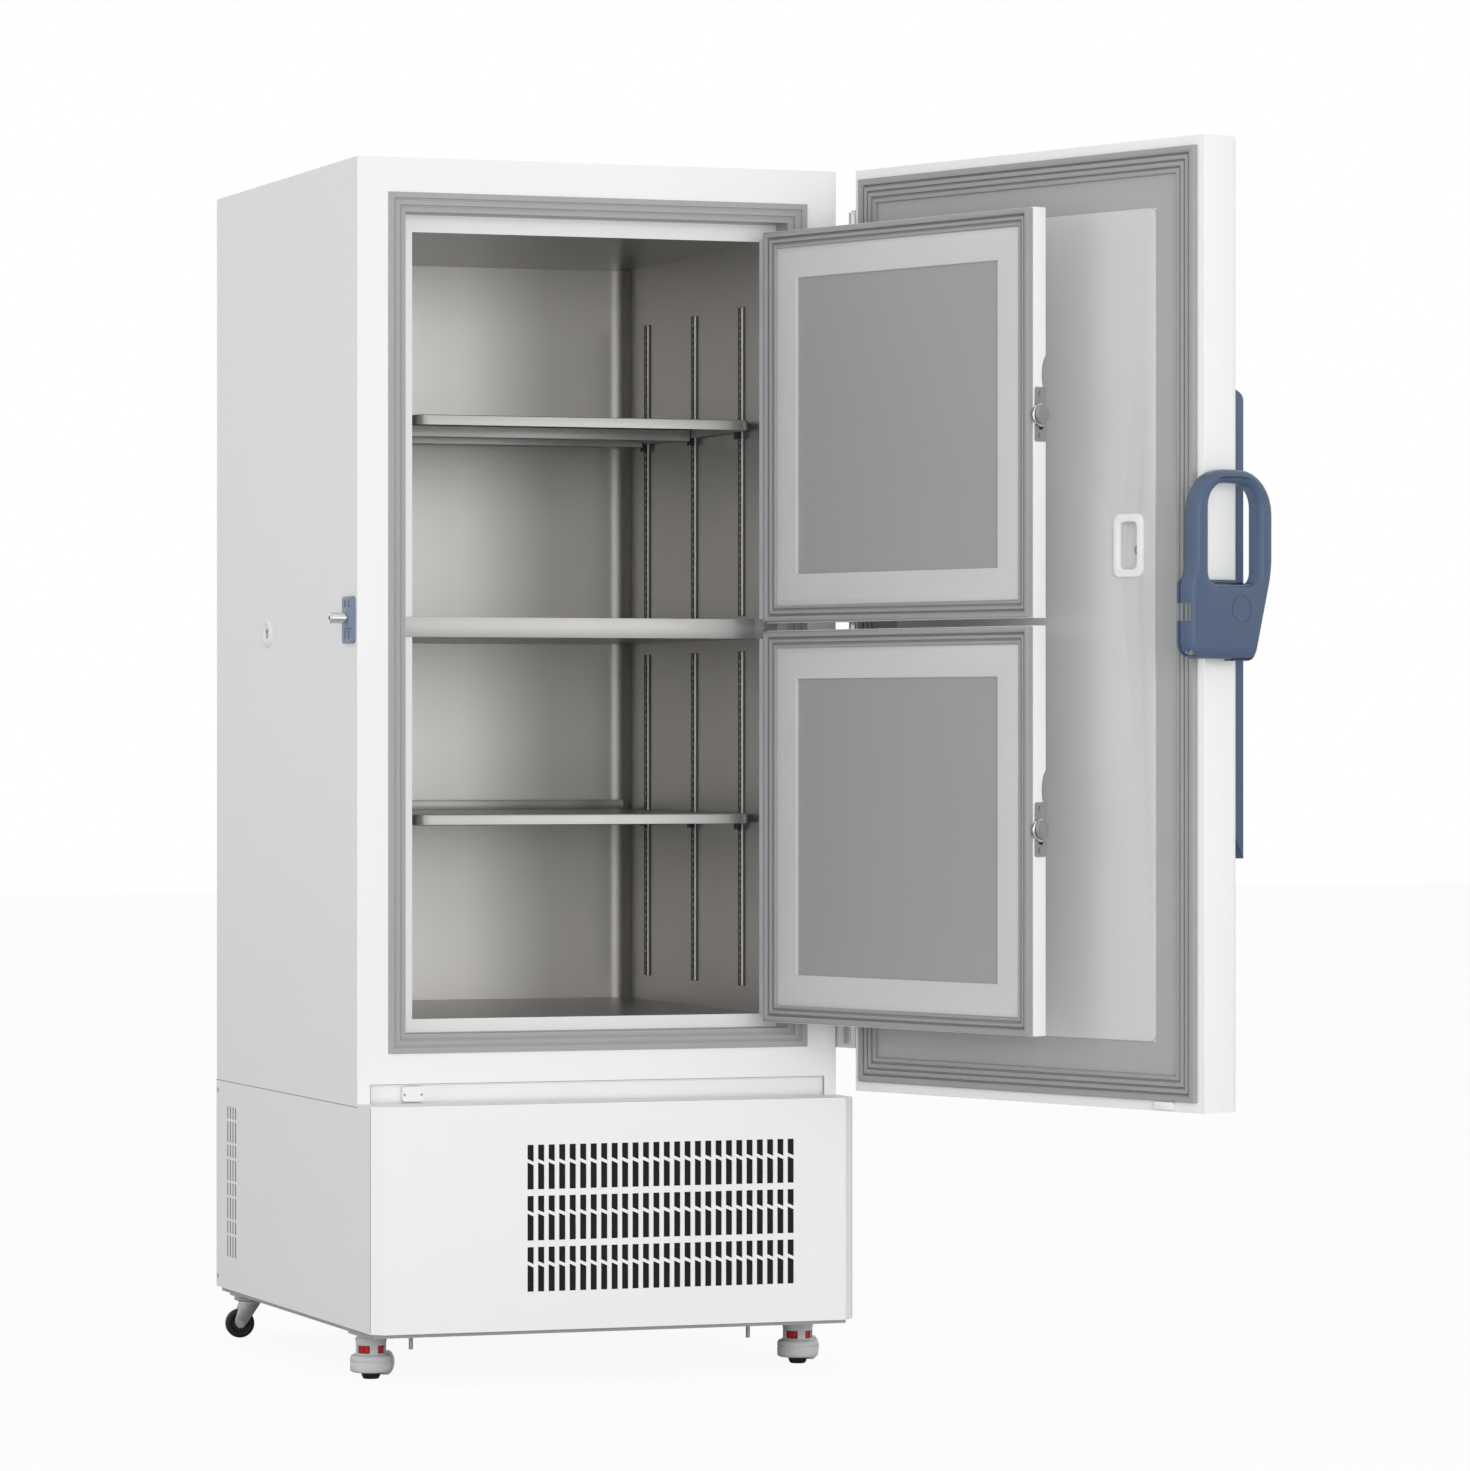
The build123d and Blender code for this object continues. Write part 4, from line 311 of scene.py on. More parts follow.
def plate(bm, loops, direction, segments=8):
    """A flat plate from an outline and its holes, each (points, corner radii), thickened along a vector."""
    for points, rounds in loops:
        verts = [bm.verts.new(point) for point in points]
        bm.faces.new(verts)
        for vert, radius in zip(verts, rounds):
            if radius:
                bmesh.ops.bevel(bm, geom=[vert], offset=radius, offset_type="OFFSET", affect="VERTICES",
                                segments=segments, profile=0.5, material=-1)
    bmesh.ops.delete(bm, geom=list(bm.faces), context="FACES_ONLY")
    bmesh.ops.triangle_fill(bm, use_beauty=True, edges=list(bm.edges))
    bmesh.ops.dissolve_limit(bm, angle_limit=0.01, verts=list(bm.verts), edges=list(bm.edges))
    grown = bmesh.ops.extrude_face_region(bm, geom=list(bm.faces), use_keep_orig=True)
    bmesh.ops.translate(bm, vec=direction, verts=vertices_of(grown))
    bmesh.ops.recalc_face_normals(bm, faces=bm.faces)


def twin(bm, step):
    """A second copy of all that is drawn, moved by a step."""
    grown = bmesh.ops.duplicate(bm, geom=bm.verts[:] + bm.edges[:] + bm.faces[:])
    bmesh.ops.translate(bm, vec=step, verts=vertices_of(grown))


def high(edge, axis):
    """Highest place of an edge along an axis."""
    return max(getattr(vert.co, axis) for vert in edge.verts)


def low(edge, axis):
    """Lowest place of an edge along an axis."""
    return min(getattr(vert.co, axis) for vert in edge.verts)


def level(edge, axis):
    """Whether an edge runs square to an axis."""
    return high(edge, axis) - low(edge, axis) < 0.01


def drop_faces(bm, unwanted):
    """Open a drawn mesh by leaving out the faces that a test picks."""
    bmesh.ops.delete(bm, geom=[face for face in bm.faces if unwanted(face)], context="FACES_ONLY")


def ease_edges(bm, radius, segments, wanted=lambda edge: True):
    """Round the sharp edges of a drawn mesh that a test picks."""
    bmesh.ops.recalc_face_normals(bm, faces=bm.faces)
    sharp = [edge for edge in bm.edges
             if edge.is_manifold and edge.calc_face_angle() > math.radians(SHARP) and wanted(edge)]
    bmesh.ops.bevel(bm, geom=sharp, offset=radius, offset_type="OFFSET", affect="EDGES", segments=segments,
                    profile=0.5, material=-1, clamp_overlap=True)


def ribs(spans, base, foot):
    """Section of a ribbed gasket as (inset, y) points: rounded ribs (from, to, height) on a thin foot."""
    roundness = 0.7
    quarter = [math.radians(22.5 * step) for step in range(5)]
    points = []
    for start, end, height in spans:
        radius = min((end - start) / 2, height) * roundness
        crown = base + height
        points.append((start, base + foot if points else base))
        for angle in quarter:
            points.append((start + radius * (1 - math.cos(angle)), crown - radius * (1 - math.sin(angle))))
        for angle in quarter:
            points.append((end - radius * (1 - math.sin(angle)), crown - radius * (1 - math.cos(angle))))
        points.append((end, base + foot))
    points[-1] = (points[-1][0], base)
    return points


def set_up(name, bm):
    """A scene object from a mesh that already lies in the frame, in metres."""
    mesh = bpy.data.meshes.new(name)
    bm.to_mesh(mesh)
    bm.free()
    made = bpy.data.objects.new(name, mesh)
    bpy.context.scene.collection.objects.link(made)
    return made


def open_up(bm, turn):
    """Turn a drawn mesh with its door and bring it from the drawing into the frame."""
    bmesh.ops.recalc_face_normals(bm, faces=bm.faces)
    bmesh.ops.transform(bm, matrix=TO_FRAME @ turn, verts=bm.verts)


def modify(made, kind, **settings):
    """Run one modifier over an object and keep the mesh that it gives."""
    modifier = made.modifiers.new(kind.lower(), kind)
    for key, value in settings.items():
        setattr(modifier, key, value)
    depsgraph = bpy.context.evaluated_depsgraph_get()
    mesh = bpy.data.meshes.new_from_object(made.evaluated_get(depsgraph))
    made.modifiers.clear()
    made.data = mesh


def piece(name, bm, material, body, turn=CLOSED, instead=(), ease=0.0, segments=2, cuts=(),
          sharp=SHARP, wall=0.0):
    """Finish a drawn mesh and hang it on its body.

    A wall turns a bare surface into a sheet of that thickness, the cuts are taken out of it, and ease is the
    radius of its sharp edges, all in millimetres. It replaces the CAD nodes that instead names.
    """
    bmesh.ops.remove_doubles(bm, verts=bm.verts, dist=WELD)
    open_up(bm, turn)
    made = set_up(name, bm)
    if wall:
        modify(made, "SOLIDIFY", thickness=abs(wall) * MM, offset=math.copysign(1, wall), use_even_offset=True)
    for number, cutter in enumerate(cuts):
        open_up(cutter, turn)
        tool = set_up(f"{name}_cutter_{number}", cutter)
        modify(made, "BOOLEAN", operation="DIFFERENCE", solver="EXACT", object=tool)
        bpy.data.objects.remove(tool)
    if ease:
        modify(made, "BEVEL", width=ease * MM, segments=segments, limit_method="ANGLE",
               angle_limit=math.radians(sharp), use_clamp_overlap=True)
    made.data.materials.clear()
    made.data.materials.append(material)
    made.data.shade_smooth()
    made.data.set_sharp_from_angle(angle=math.radians(sharp))
    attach(made, body)
    if instead:
        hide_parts(*instead)


# A finish for the CAD nodes listed here, among them some that a drawn piece replaces below
for material, names in (
        (POWDER_COAT, ("outer_case", "outer_door_shell", "front_grille_panel", "machine_panels")),
        (ABS_WHITE, ("front_strip", "inner_door_upper_shell", "inner_door_lower_shell", "access_port",
                     "outer_door_fittings", "breaker_frame")),
        (RAIL_PAINTED_HIGHLIGHT, ("shelf_rails",)),
        (NICKEL, ("cabinet_hinge_leaves", "outer_door_hinge_leaves")),
        (FOAM, ("foam_insulation", "outer_door_foam")),
        (FOIL, ("vacuum_panels",)),
        (COPPER, ("evaporator_coil",)),
        (SHEET_BAND, ("outer_door_liner",)),
        (SHEET_LIGHT, ("outer_door_panel",)),
        (SHEET_MID, ("inner_door_upper_panel", "inner_door_lower_panel")),
        (GASKET, ("outer_door_gasket", "inner_door_upper_gasket", "inner_door_lower_gasket")),
        (HANDLE_BLUE, ("handle", "handle_base", "handle_trim_strip", "control_panel")),
        (STRIKER_BLUE, ("striker_bracket",)),
        (SCREEN, ("control_glass",)),
        (CAST_GREY, ("front_caster_left", "front_caster_right")),
        (NICKEL, ("steel_pins",)),
        # The claw is painted dark: the shade inside the handle's mouth
        (BLACK_OXIDE_AND_MOUTH_SHADE, ("catch_claw",)),
        (SATIN_NICKEL, ("inner_door_upper_hardware", "inner_door_lower_hardware")),
        (GALVANISED, ("base_pan", "fan_shroud_and_control_box")),
        (BLACK_PAINT, ("compressors", "fan_motor")),
        (BLACK_PLASTIC, ("condenser_fan", "clips_and_mains_inlet")),
        (FILTER, ("air_filter",)),
        (FINS, ("condenser",)),
        (ZINC, ("caster_plates", "rear_fork_left", "rear_fork_right")),
        (NYLON_WHITE, ("front_wheel_left", "front_wheel_right")),
        (DIAL_RED, ("level_dial_left", "level_dial_right")),
        (RUBBER, ("rear_wheel_left", "rear_wheel_right", "level_foot_left", "level_foot_right"))):
    for name in names:
        nodes[name].data.materials.clear()
        nodes[name].data.materials.append(material)

# Ridged frame round the opening: three rounded lands with grooves, then the recess wall, and the flat seat
# that the inner doors close against
SEAT_SHEET = 3.0
SEAT_LAP = 2.0
bm = bmesh.new()
picture_frame(bm, [(0, -3), (9, -3), (9, 2), (12, 2), (12, 1), (20, 1), (20, 7), (23, 7), (23, 6),
                   (RECESS, 6), (RECESS, SEAT_Y), (28, SEAT_Y), (28, 15), (0, 15)], FRAME_X, FRAME_Z)
piece("ridged_frame", bm, ABS_GREY, "cabinet", instead=("breaker_frame",), ease=2.2,
      segments=4)
bm = bmesh.new()
plate(bm, [(rectangle(inset(FRAME_X, RECESS - SEAT_LAP), SEAT_Y, inset(FRAME_Z, RECESS - SEAT_LAP)), SQUARE),
           (rectangle(CHAMBER_X, SEAT_Y, CHAMBER_Z), SQUARE)], (0, SEAT_SHEET, 0))
piece("gasket_seat", bm, ABS_WHITE, "cabinet")

# Inner liner of one folded stainless sheet with rounded back corners
LINER_R = 30.0
SHEET = 1.5
bm = bmesh.new()
slab(bm, CHAMBER_X, (SEAT_Y + SEAT_SHEET, CHAMBER_BACK), CHAMBER_Z)
drop_faces(bm, lambda face: face.normal.y < -0.5)
ease_edges(bm, LINER_R, 10, lambda edge: low(edge, "y") > SEAT_Y + 10 and level(edge, "x"))
piece("chamber_liner", bm, LINER_STEEL, "cabinet", instead=("inner_liner",), wall=SHEET,
      sharp=30)

# Fixed partition: folded steel pan with a lip that both inner doors seal against
DIVIDER_LIP = 3.0
lip_x = inset(FRAME_X, RECESS)
pan = ((lip_x[0], SEAT_Y - DIVIDER_LIP), (lip_x[1], SEAT_Y - DIVIDER_LIP), (lip_x[1], SEAT_Y),
       (CHAMBER_X[1], SEAT_Y), (CHAMBER_X[1], CHAMBER_BACK), (CHAMBER_X[0], CHAMBER_BACK),
       (CHAMBER_X[0], SEAT_Y), (lip_x[0], SEAT_Y))
bm = bmesh.new()
plate(bm, [([(x, y, DIVIDER_Z[0]) for x, y in pan], (1, 1, 0, 0, LINER_R, LINER_R, 0, 0))],
      (0, 0, DIVIDER_Z[1] - DIVIDER_Z[0]))
ease_edges(bm, 2.0, 3, lambda edge: low(edge, "y") < SEAT_Y - 2 and level(edge, "z"))
piece("divider_pan", bm, SHELF_STEEL, "cabinet", instead=("middle_divider",), sharp=30)

# Shelves: sheet trays with folded lips, rounded front corners, a back upstand and two channel bars below
SHELF_X, SHELF_Y = (-291.0, 291.0), (75.0, 738.0)
SHELF_LIP = 16.3
SHELF_CORNER = 22
BAR_HALF, BAR_DROP = 12.0, 22.0
for name, top in SHELF_TOPS.items():
    bm = bmesh.new()
    plate(bm, [([(SHELF_X[0], SHELF_Y[0], top), (SHELF_X[1], SHELF_Y[0], top), (SHELF_X[1], SHELF_Y[1], top),
                 (SHELF_X[0], SHELF_Y[1], top)], (SHELF_CORNER, SHELF_CORNER, 0, 0))], (0, 0, -SHELF_LIP))
    bmesh.ops.recalc_face_normals(bm, faces=bm.faces)
    drop_faces(bm, lambda face: face.normal.z < -0.5 or face.normal.y > 0.9)
    ease_edges(bm, 2.2, 3)
    piece(f"shelf_{name}", bm, SHELF_STEEL, "cabinet",
          instead=("shelves",) if name == "upper" else (), wall=-SHEET, sharp=30)
    bm = bmesh.new()
    slab(bm, SHELF_X, (SHELF_Y[1] - SHEET, SHELF_Y[1]), (top - SHEET, top + SHELF_LIP))
    piece(f"shelf_{name}_upstand", bm, SHELF_STEEL, "cabinet", ease=0.6)
    bm = bmesh.new()
    for y in RAIL_YS[1:]:
        slab(bm, inset(SHELF_X, 2), around(y, BAR_HALF), (top - BAR_DROP, top - SHEET - 0.2))
    piece(f"shelf_{name}_bars", bm, SHELF_STEEL, "cabinet", ease=2.0, segments=3)

# Outer door: painted pan with a rolled outer edge and a folded inner edge, pocketed for the relief port
RELIEF_X, RELIEF_Z = (-277.6, -211.9), (1293.0, 1393.0)
RELIEF_HOLE = (-251.6, 1336.0)
PANEL_Y = DOOR_IN + 4.0
POCKET_X, POCKET_Z = inset(RELIEF_X, 11), inset(RELIEF_Z, 11)
bm = bmesh.new()
slab(bm, DOOR_X, (DOOR_OUT, DOOR_IN), DOOR_Z)
ease_edges(bm, 14.0, 7, lambda edge: high(edge, "y") < DOOR_OUT + 1)
ease_edges(bm, 1.6, 3, lambda edge: low(edge, "y") > DOOR_IN - 1)
pocket = bmesh.new()
slab(pocket, POCKET_X, (PANEL_Y - 14, DOOR_IN + 5), POCKET_Z)
piece("outer_door_pan", bm, POWDER_COAT, "outer_door", OUTER, ("outer_door_shell",),
      cuts=[pocket], sharp=30)

# Flat grey field round the centre sheet of the outer door, and the pressed centre sheet itself
FIELD_OUT, FIELD_IN = 56, 108
bm = bmesh.new()
picture_frame(bm, [(FIELD_OUT, DOOR_IN - 0.5), (FIELD_OUT, DOOR_IN + 0.9), (FIELD_IN, DOOR_IN + 0.9),
                   (FIELD_IN, DOOR_IN - 0.5)], DOOR_X, DOOR_Z)
piece("outer_door_field", bm, SHEET_BAND, "outer_door", OUTER, ("outer_door_liner",))
bm = bmesh.new()
plate(bm, [(rectangle(inset(DOOR_X, FIELD_IN - 1), PANEL_Y, inset(DOOR_Z, FIELD_IN - 1)), (12, 12, 12, 12)),
           (rectangle(POCKET_X, PANEL_Y, POCKET_Z), (8, 8, 8, 8))], (0, -4.5, 0))
ease_edges(bm, 1.8, 3, lambda edge: low(edge, "y") > PANEL_Y - 1)
piece("outer_door_sheet", bm, SHEET_LIGHT, "outer_door", OUTER, ("outer_door_panel",), sharp=30)

# Magnetic gasket of the outer door with four rounded ribs
bm = bmesh.new()
picture_frame(bm, ribs(((16, 27, 11), (29.5, 37, 9), (39.5, 47, 9), (49.5, 57, 8)), DOOR_IN - 0.5, 2.5),
              DOOR_X, DOOR_Z)
piece("outer_door_ribs", bm, GASKET, "outer_door", OUTER, ("outer_door_gasket",), sharp=50)

# Relief port: soft rim, deep cup, and the small vent with its slotted ring; a round knob on the outside
bm = bmesh.new()
plate(bm, [(rectangle(RELIEF_X, PANEL_Y + 5, RELIEF_Z), (13, 13, 13, 13)),
           (rectangle(inset(RELIEF_X, 13), PANEL_Y + 5, inset(RELIEF_Z, 13)), (9, 9, 9, 9))], (0, -6, 0))
ease_edges(bm, 4.0, 5, lambda edge: low(edge, "y") > PANEL_Y + 4)
piece("relief_rim", bm, ABS_WHITE, "outer_door", OUTER, ("outer_door_fittings",), sharp=50)
CUP_FLOOR = PANEL_Y - 11
bm = bmesh.new()
slab(bm, inset(RELIEF_X, 12.5), (CUP_FLOOR, PANEL_Y + 1), inset(RELIEF_Z, 12.5))
drop_faces(bm, lambda face: face.normal.y > 0.5)
ease_edges(bm, 8.0, 6, lambda edge: not level(edge, "y"))
ease_edges(bm, 3.0, 3)
piece("relief_cup", bm, SHEET_LIGHT, "outer_door", OUTER, wall=1.0, sharp=50)
VENT_X, VENT_Z = RELIEF_HOLE
bm = bmesh.new()
lathe(bm, [(3.2, -0.5), (3.2, 0.8), (4, 1.4), (6.5, 1.4), (7.4, 0.8), (7.4, -0.5), (3.2, -0.5)],
      (VENT_X, CUP_FLOOR, VENT_Z), BACK)
piece("relief_vent_ring", bm, ABS_GREY, "outer_door", OUTER)
NOTCH_OFF = 5.2
bm = bmesh.new()
for offset in (-NOTCH_OFF, NOTCH_OFF):
    rod(bm, 2.0, (VENT_X, CUP_FLOOR + 0.5, VENT_Z + offset), BACK, 1.4, 0.3, 16)
rod(bm, 1.6, (VENT_X - NOTCH_OFF, CUP_FLOOR + 0.5, VENT_Z), BACK, 1.2, 0.3, 16)
rod(bm, 2.6, (VENT_X, CUP_FLOOR - 0.4, VENT_Z), BACK, 0.7, 0.2, 16)
piece("relief_vent_slots", bm, BLACK_PLASTIC, "outer_door", OUTER)
bm = bmesh.new()
lathe(bm, [(0, 0), (24, 0), (24, 3), (22.5, 5), (22, 14), (20, 17), (17, 18), (0, 18)],
      (VENT_X, DOOR_OUT, VENT_Z), FRONT, 64)
piece("relief_knob", bm, ABS_GREY, "outer_door", OUTER, ease=0.8)

# Magnet of the door switch, low on the door's inner face
bm = bmesh.new()
slab(bm, (-343.7, -303.5), (DOOR_IN - 0.5, -6.0), (461.0, 474.5))
piece("switch_magnet", bm, ABS_WHITE, "outer_door", OUTER, ease=2.0, segments=3)

# Trim strip beside the handle, with a sloped lower end
TRIM_X = (-398, -366)
bm = bmesh.new()
plate(bm, [(side_on(TRIM_X[0], ((DOOR_OUT + 0.5, 893), (DOOR_OUT + 0.5, 1586), (DOOR_OUT - 20, 1576),
                                (DOOR_OUT - 20, 853))), (0, 0, 9, 0))], (TRIM_X[1] - TRIM_X[0], 0, 0))
ease_edges(bm, 6.0, 5, lambda edge: high(edge, "y") < DOOR_OUT - 18 and level(edge, "x"))
piece("handle_trim", bm, HANDLE_BLUE, "outer_door", OUTER, ("handle_trim_strip",),
      ease=0.8, sharp=50)

# Lever handle: one moulding of loop and box, hollow towards the door, with a mouth for the catch pin and a
# groove round its pivot
LEVER_X = (-458.0, -430.0)
LEVER_PIVOT = (-47.0, 1240.6)
HOLLOW_X = (-454, -420)


def mouth():
    """Cutter for the slot through which the striker's pin reaches the claw."""
    cutter = bmesh.new()
    slab(cutter, HOLLOW_X, (50, 70), (1221.5, 1248.5))
    return cutter


bm = bmesh.new()
plate(bm, [(side_on(LEVER_X[0], ((-82, 1163), (62, 1163), (62, 1282), (51, 1306), (51, 1456), (-118, 1456),
                                 (-118, 1300))), (16, 26, 12, 14, 68, 68, 20)),
           (side_rectangle(LEVER_X[0], (-87, 20), (1278, 1435)), (20, 20, 37, 37))],
      (LEVER_X[1] - LEVER_X[0], 0, 0))
ease_edges(bm, 12.5, 6, lambda edge: high(edge, "x") < LEVER_X[0] + 1)
ease_edges(bm, 5.0, 4, lambda edge: low(edge, "x") > LEVER_X[1] - 1)
hollow = bmesh.new()
slab(hollow, HOLLOW_X, (-77, 57), (1168, 1268))
groove = bmesh.new()
lathe(groove, [(19.9, -2), (20.9, -2), (20.9, 0.8), (19.9, 0.8), (19.9, -2)], (LEVER_X[0], *LEVER_PIVOT),
      RIGHT, 64)
piece("lever_handle", bm, HANDLE_BLUE, "door_handle", OUTER, ("handle",),
      cuts=[hollow, mouth(), groove], sharp=35)
# Skirt round the open side of the box, the boss on its pivot, and the dark clip on its lower corner
SKIRT_X = LEVER_X[1] - 1
bm = bmesh.new()
plate(bm, [(side_rectangle(SKIRT_X, (-79, 62.6), (1165, 1286)), (14, 24, 8, 8)),
           (side_rectangle(SKIRT_X, (-75, 58.5), (1169, 1282)), (10, 20, 4, 4))], (4, 0, 0))
piece("lever_skirt", bm, HANDLE_BLUE, "door_handle", OUTER, cuts=[mouth()], sharp=35)
bm = bmesh.new()
lathe(bm, [(13, 30), (13, 0), (6.3, 0), (6.3, 30), (13, 30)], (LEVER_X[0] + 1, *LEVER_PIVOT), RIGHT)
piece("lever_boss", bm, HANDLE_BLUE, "door_handle", OUTER)
bm = bmesh.new()
plate(bm, [(side_on(-452, ((-84.5, 1196), (-84.5, 1160.5), (-34, 1160.5), (-34, 1163), (-82, 1163),
                           (-82, 1196))), (1, 19, 1, 0, 16.5, 0))], (20, 0, 0))
piece("lever_clip", bm, CLIP_BLUE, "door_handle", OUTER, ease=0.6)

# Striker: screw plate with four slots and the thicker block that carries the pin
STRIKER_X = -HALF + 0.5
bm = bmesh.new()
plate(bm, [(side_rectangle(STRIKER_X, (10, 69), (1194, 1270)), (7, 7, 7, 7))]
      + [(side_rectangle(STRIKER_X, around(y, 3), around(z, 7)), (2.9, 2.9, 2.9, 2.9))
         for y in (28.5, 50.5) for z in (1207, 1257)], (-6.5, 0, 0))
piece("striker_plate", bm, STRIKER_BLUE, "cabinet", instead=("striker_bracket",), ease=0.8)
bm = bmesh.new()
slab(bm, (-HALF - 11, -HALF), (10.5, 47), (1217, 1253))
piece("striker_block", bm, STRIKER_BLUE, "cabinet", ease=3.0, segments=4)

# Service port: a screwed ring cap with a key mark, and the sleeve through the wall
PORT_Y, PORT_Z = 534.0, 1218.6
MARK_X = -HALF - 1.5
bm = bmesh.new()
lathe(bm, [(0, 2.2), (14.5, 2.2), (15.5, 3.2), (16.5, 5), (22.5, 5), (25.4, 2.6), (25.4, -0.5), (0, -0.5)],
      (-HALF, PORT_Y, PORT_Z), LEFT, 64)
piece("port_cap", bm, ABS_WHITE, "cabinet", instead=("access_port",), ease=0.5)
bm = bmesh.new()
rod(bm, 4.6, (MARK_X, PORT_Y, PORT_Z + 3), LEFT, 1.9, 0.4, 24)
slab(bm, (-HALF - 3.3, MARK_X), around(PORT_Y, 1.6), (PORT_Z - 9, PORT_Z + 1))
piece("port_key_mark", bm, KEY_GREY, "cabinet")
bm = bmesh.new()
lathe(bm, [(11.5, 0), (14, 0), (14, 109.5), (11.5, 109.5), (11.5, 0)], (-HALF + 0.2, PORT_Y, PORT_Z), RIGHT)
piece("port_sleeve", bm, ABS_WHITE, "cabinet")

# Inner doors: moulded pan with a finger scoop, ribbed gasket, light border and recessed grey sheet; then the
# latch, with two screws and a keyway, a black disc of painted shade, on the door and a knob and hook that turn
LATCH_X = INNER_X[0] - 1.2
LATCH_Y = mid((INNER_FRONT, INNER_BACK))
SCOOP_SIZE = (17, 14, 34, 1)
SCOOP_ABOVE, SCREW_OFF, KEYWAY_BELOW = 62, 33, 19.5
BORDER_OUT, BORDER_IN = 28, 80
for name, span in INNER_Z.items():
    body = f"inner_door_{name}"
    latch = LATCH_Z[name]
    bm = bmesh.new()
    slab(bm, INNER_X, (INNER_FRONT, INNER_BACK), span)
    ease_edges(bm, 3.0, 4, lambda edge: high(edge, "y") < INNER_FRONT + 1)
    ease_edges(bm, 1.2, 2, lambda edge: low(edge, "y") > INNER_BACK - 1)
    scoop = bmesh.new()
    scoop_at = Matrix.Translation((INNER_X[0] - 4, INNER_FRONT - 3, latch + SCOOP_ABOVE))
    bmesh.ops.create_uvsphere(scoop, u_segments=32, v_segments=20, radius=1,
                              matrix=scoop_at @ Matrix.Diagonal(SCOOP_SIZE))
    piece(f"{body}_pan", bm, ABS_WHITE, body, INNER, (f"{body}_shell",), cuts=[scoop],
          sharp=30)
    bm = bmesh.new()
    picture_frame(bm, [(BORDER_OUT, INNER_BACK - 0.5), (BORDER_OUT, INNER_BACK + 1.2), (32, INNER_BACK + 2),
                       (36, INNER_BACK + 3.4), (40, INNER_BACK + 4), (79, INNER_BACK + 4),
                       (BORDER_IN, INNER_BACK + 3.4), (BORDER_IN, INNER_BACK - 0.5)], INNER_X, span)
    piece(f"{body}_border", bm, BORDER_GREY, body, INNER, (f"{body}_panel",), sharp=30)
    bm = bmesh.new()
    sheet_x, sheet_z = inset(INNER_X, BORDER_IN - 2), inset(span, BORDER_IN - 2)
    plate(bm, [(rectangle(sheet_x, INNER_BACK + 0.3, sheet_z), SQUARE)], (0, -1, 0))
    piece(f"{body}_sheet", bm, SHEET_MID, body, INNER)
    bm = bmesh.new()
    picture_frame(bm, ribs(((1.5, 11, 12), (14, 20, 9), (23, 29, 7)), INNER_BACK - 0.5, 2.5), INNER_X, span)
    piece(f"{body}_ribs", bm, GASKET, body, INNER, (f"{body}_gasket",), sharp=50)
    bm = bmesh.new()
    for z in around(latch, SCREW_OFF):
        lathe(bm, [(0, 0.9), (1.2, 0.5), (3.6, 1.0), (4.2, 0.6), (4.4, -0.5), (0, -0.5)],
              (LATCH_X, LATCH_Y, z), LEFT, 24)
    piece(f"latch_{name}_screws", bm, BLACK_OXIDE_AND_MOUTH_SHADE, body, INNER)
    # Keyway: a black disc just proud of the plate, painted shade of the hole
    bm = bmesh.new()
    rod(bm, 5.0, (LATCH_X + 0.5, LATCH_Y - 1, latch - KEYWAY_BELOW), LEFT, 0.9, 0.2, 24)
    piece(f"latch_{name}_keyway", bm, BLACK_PLASTIC, body, INNER)
    bm = bmesh.new()
    lathe(bm, [(0, -0.2), (13, -0.2), (14, 0.8), (14, 4.6), (12.6, 6), (0, 6.4)], (LATCH_X, LATCH_Y, latch),
          LEFT, 48)
    facet = bmesh.new()
    slab(facet, (LATCH_X - 10, LATCH_X - 3.2), around(LATCH_Y, 20), (latch - 20, latch - 8.5))
    piece(f"latch_{name}_knob", bm, SATIN_NICKEL, f"inner_latch_{name}", INNER,
          (f"inner_door_{name}_latch_cam",), cuts=[facet], ease=0.5)
    bm = bmesh.new()
    lathe(bm, [(14.4, 0.2), (18.6, 0.2), (18.6, 3.2), (17.6, 4), (15, 4), (14.4, 3.2), (14.4, 0.2)],
          (LATCH_X, LATCH_Y + 0.5, latch - 1), LEFT, 48)
    opening = bmesh.new()
    slab(opening, (LATCH_X - 10, LATCH_X + 5), (LATCH_Y - 30, LATCH_Y - 2), around(latch, 30))
    piece(f"latch_{name}_hook", bm, NICKEL, f"inner_latch_{name}", INNER, cuts=[opening])
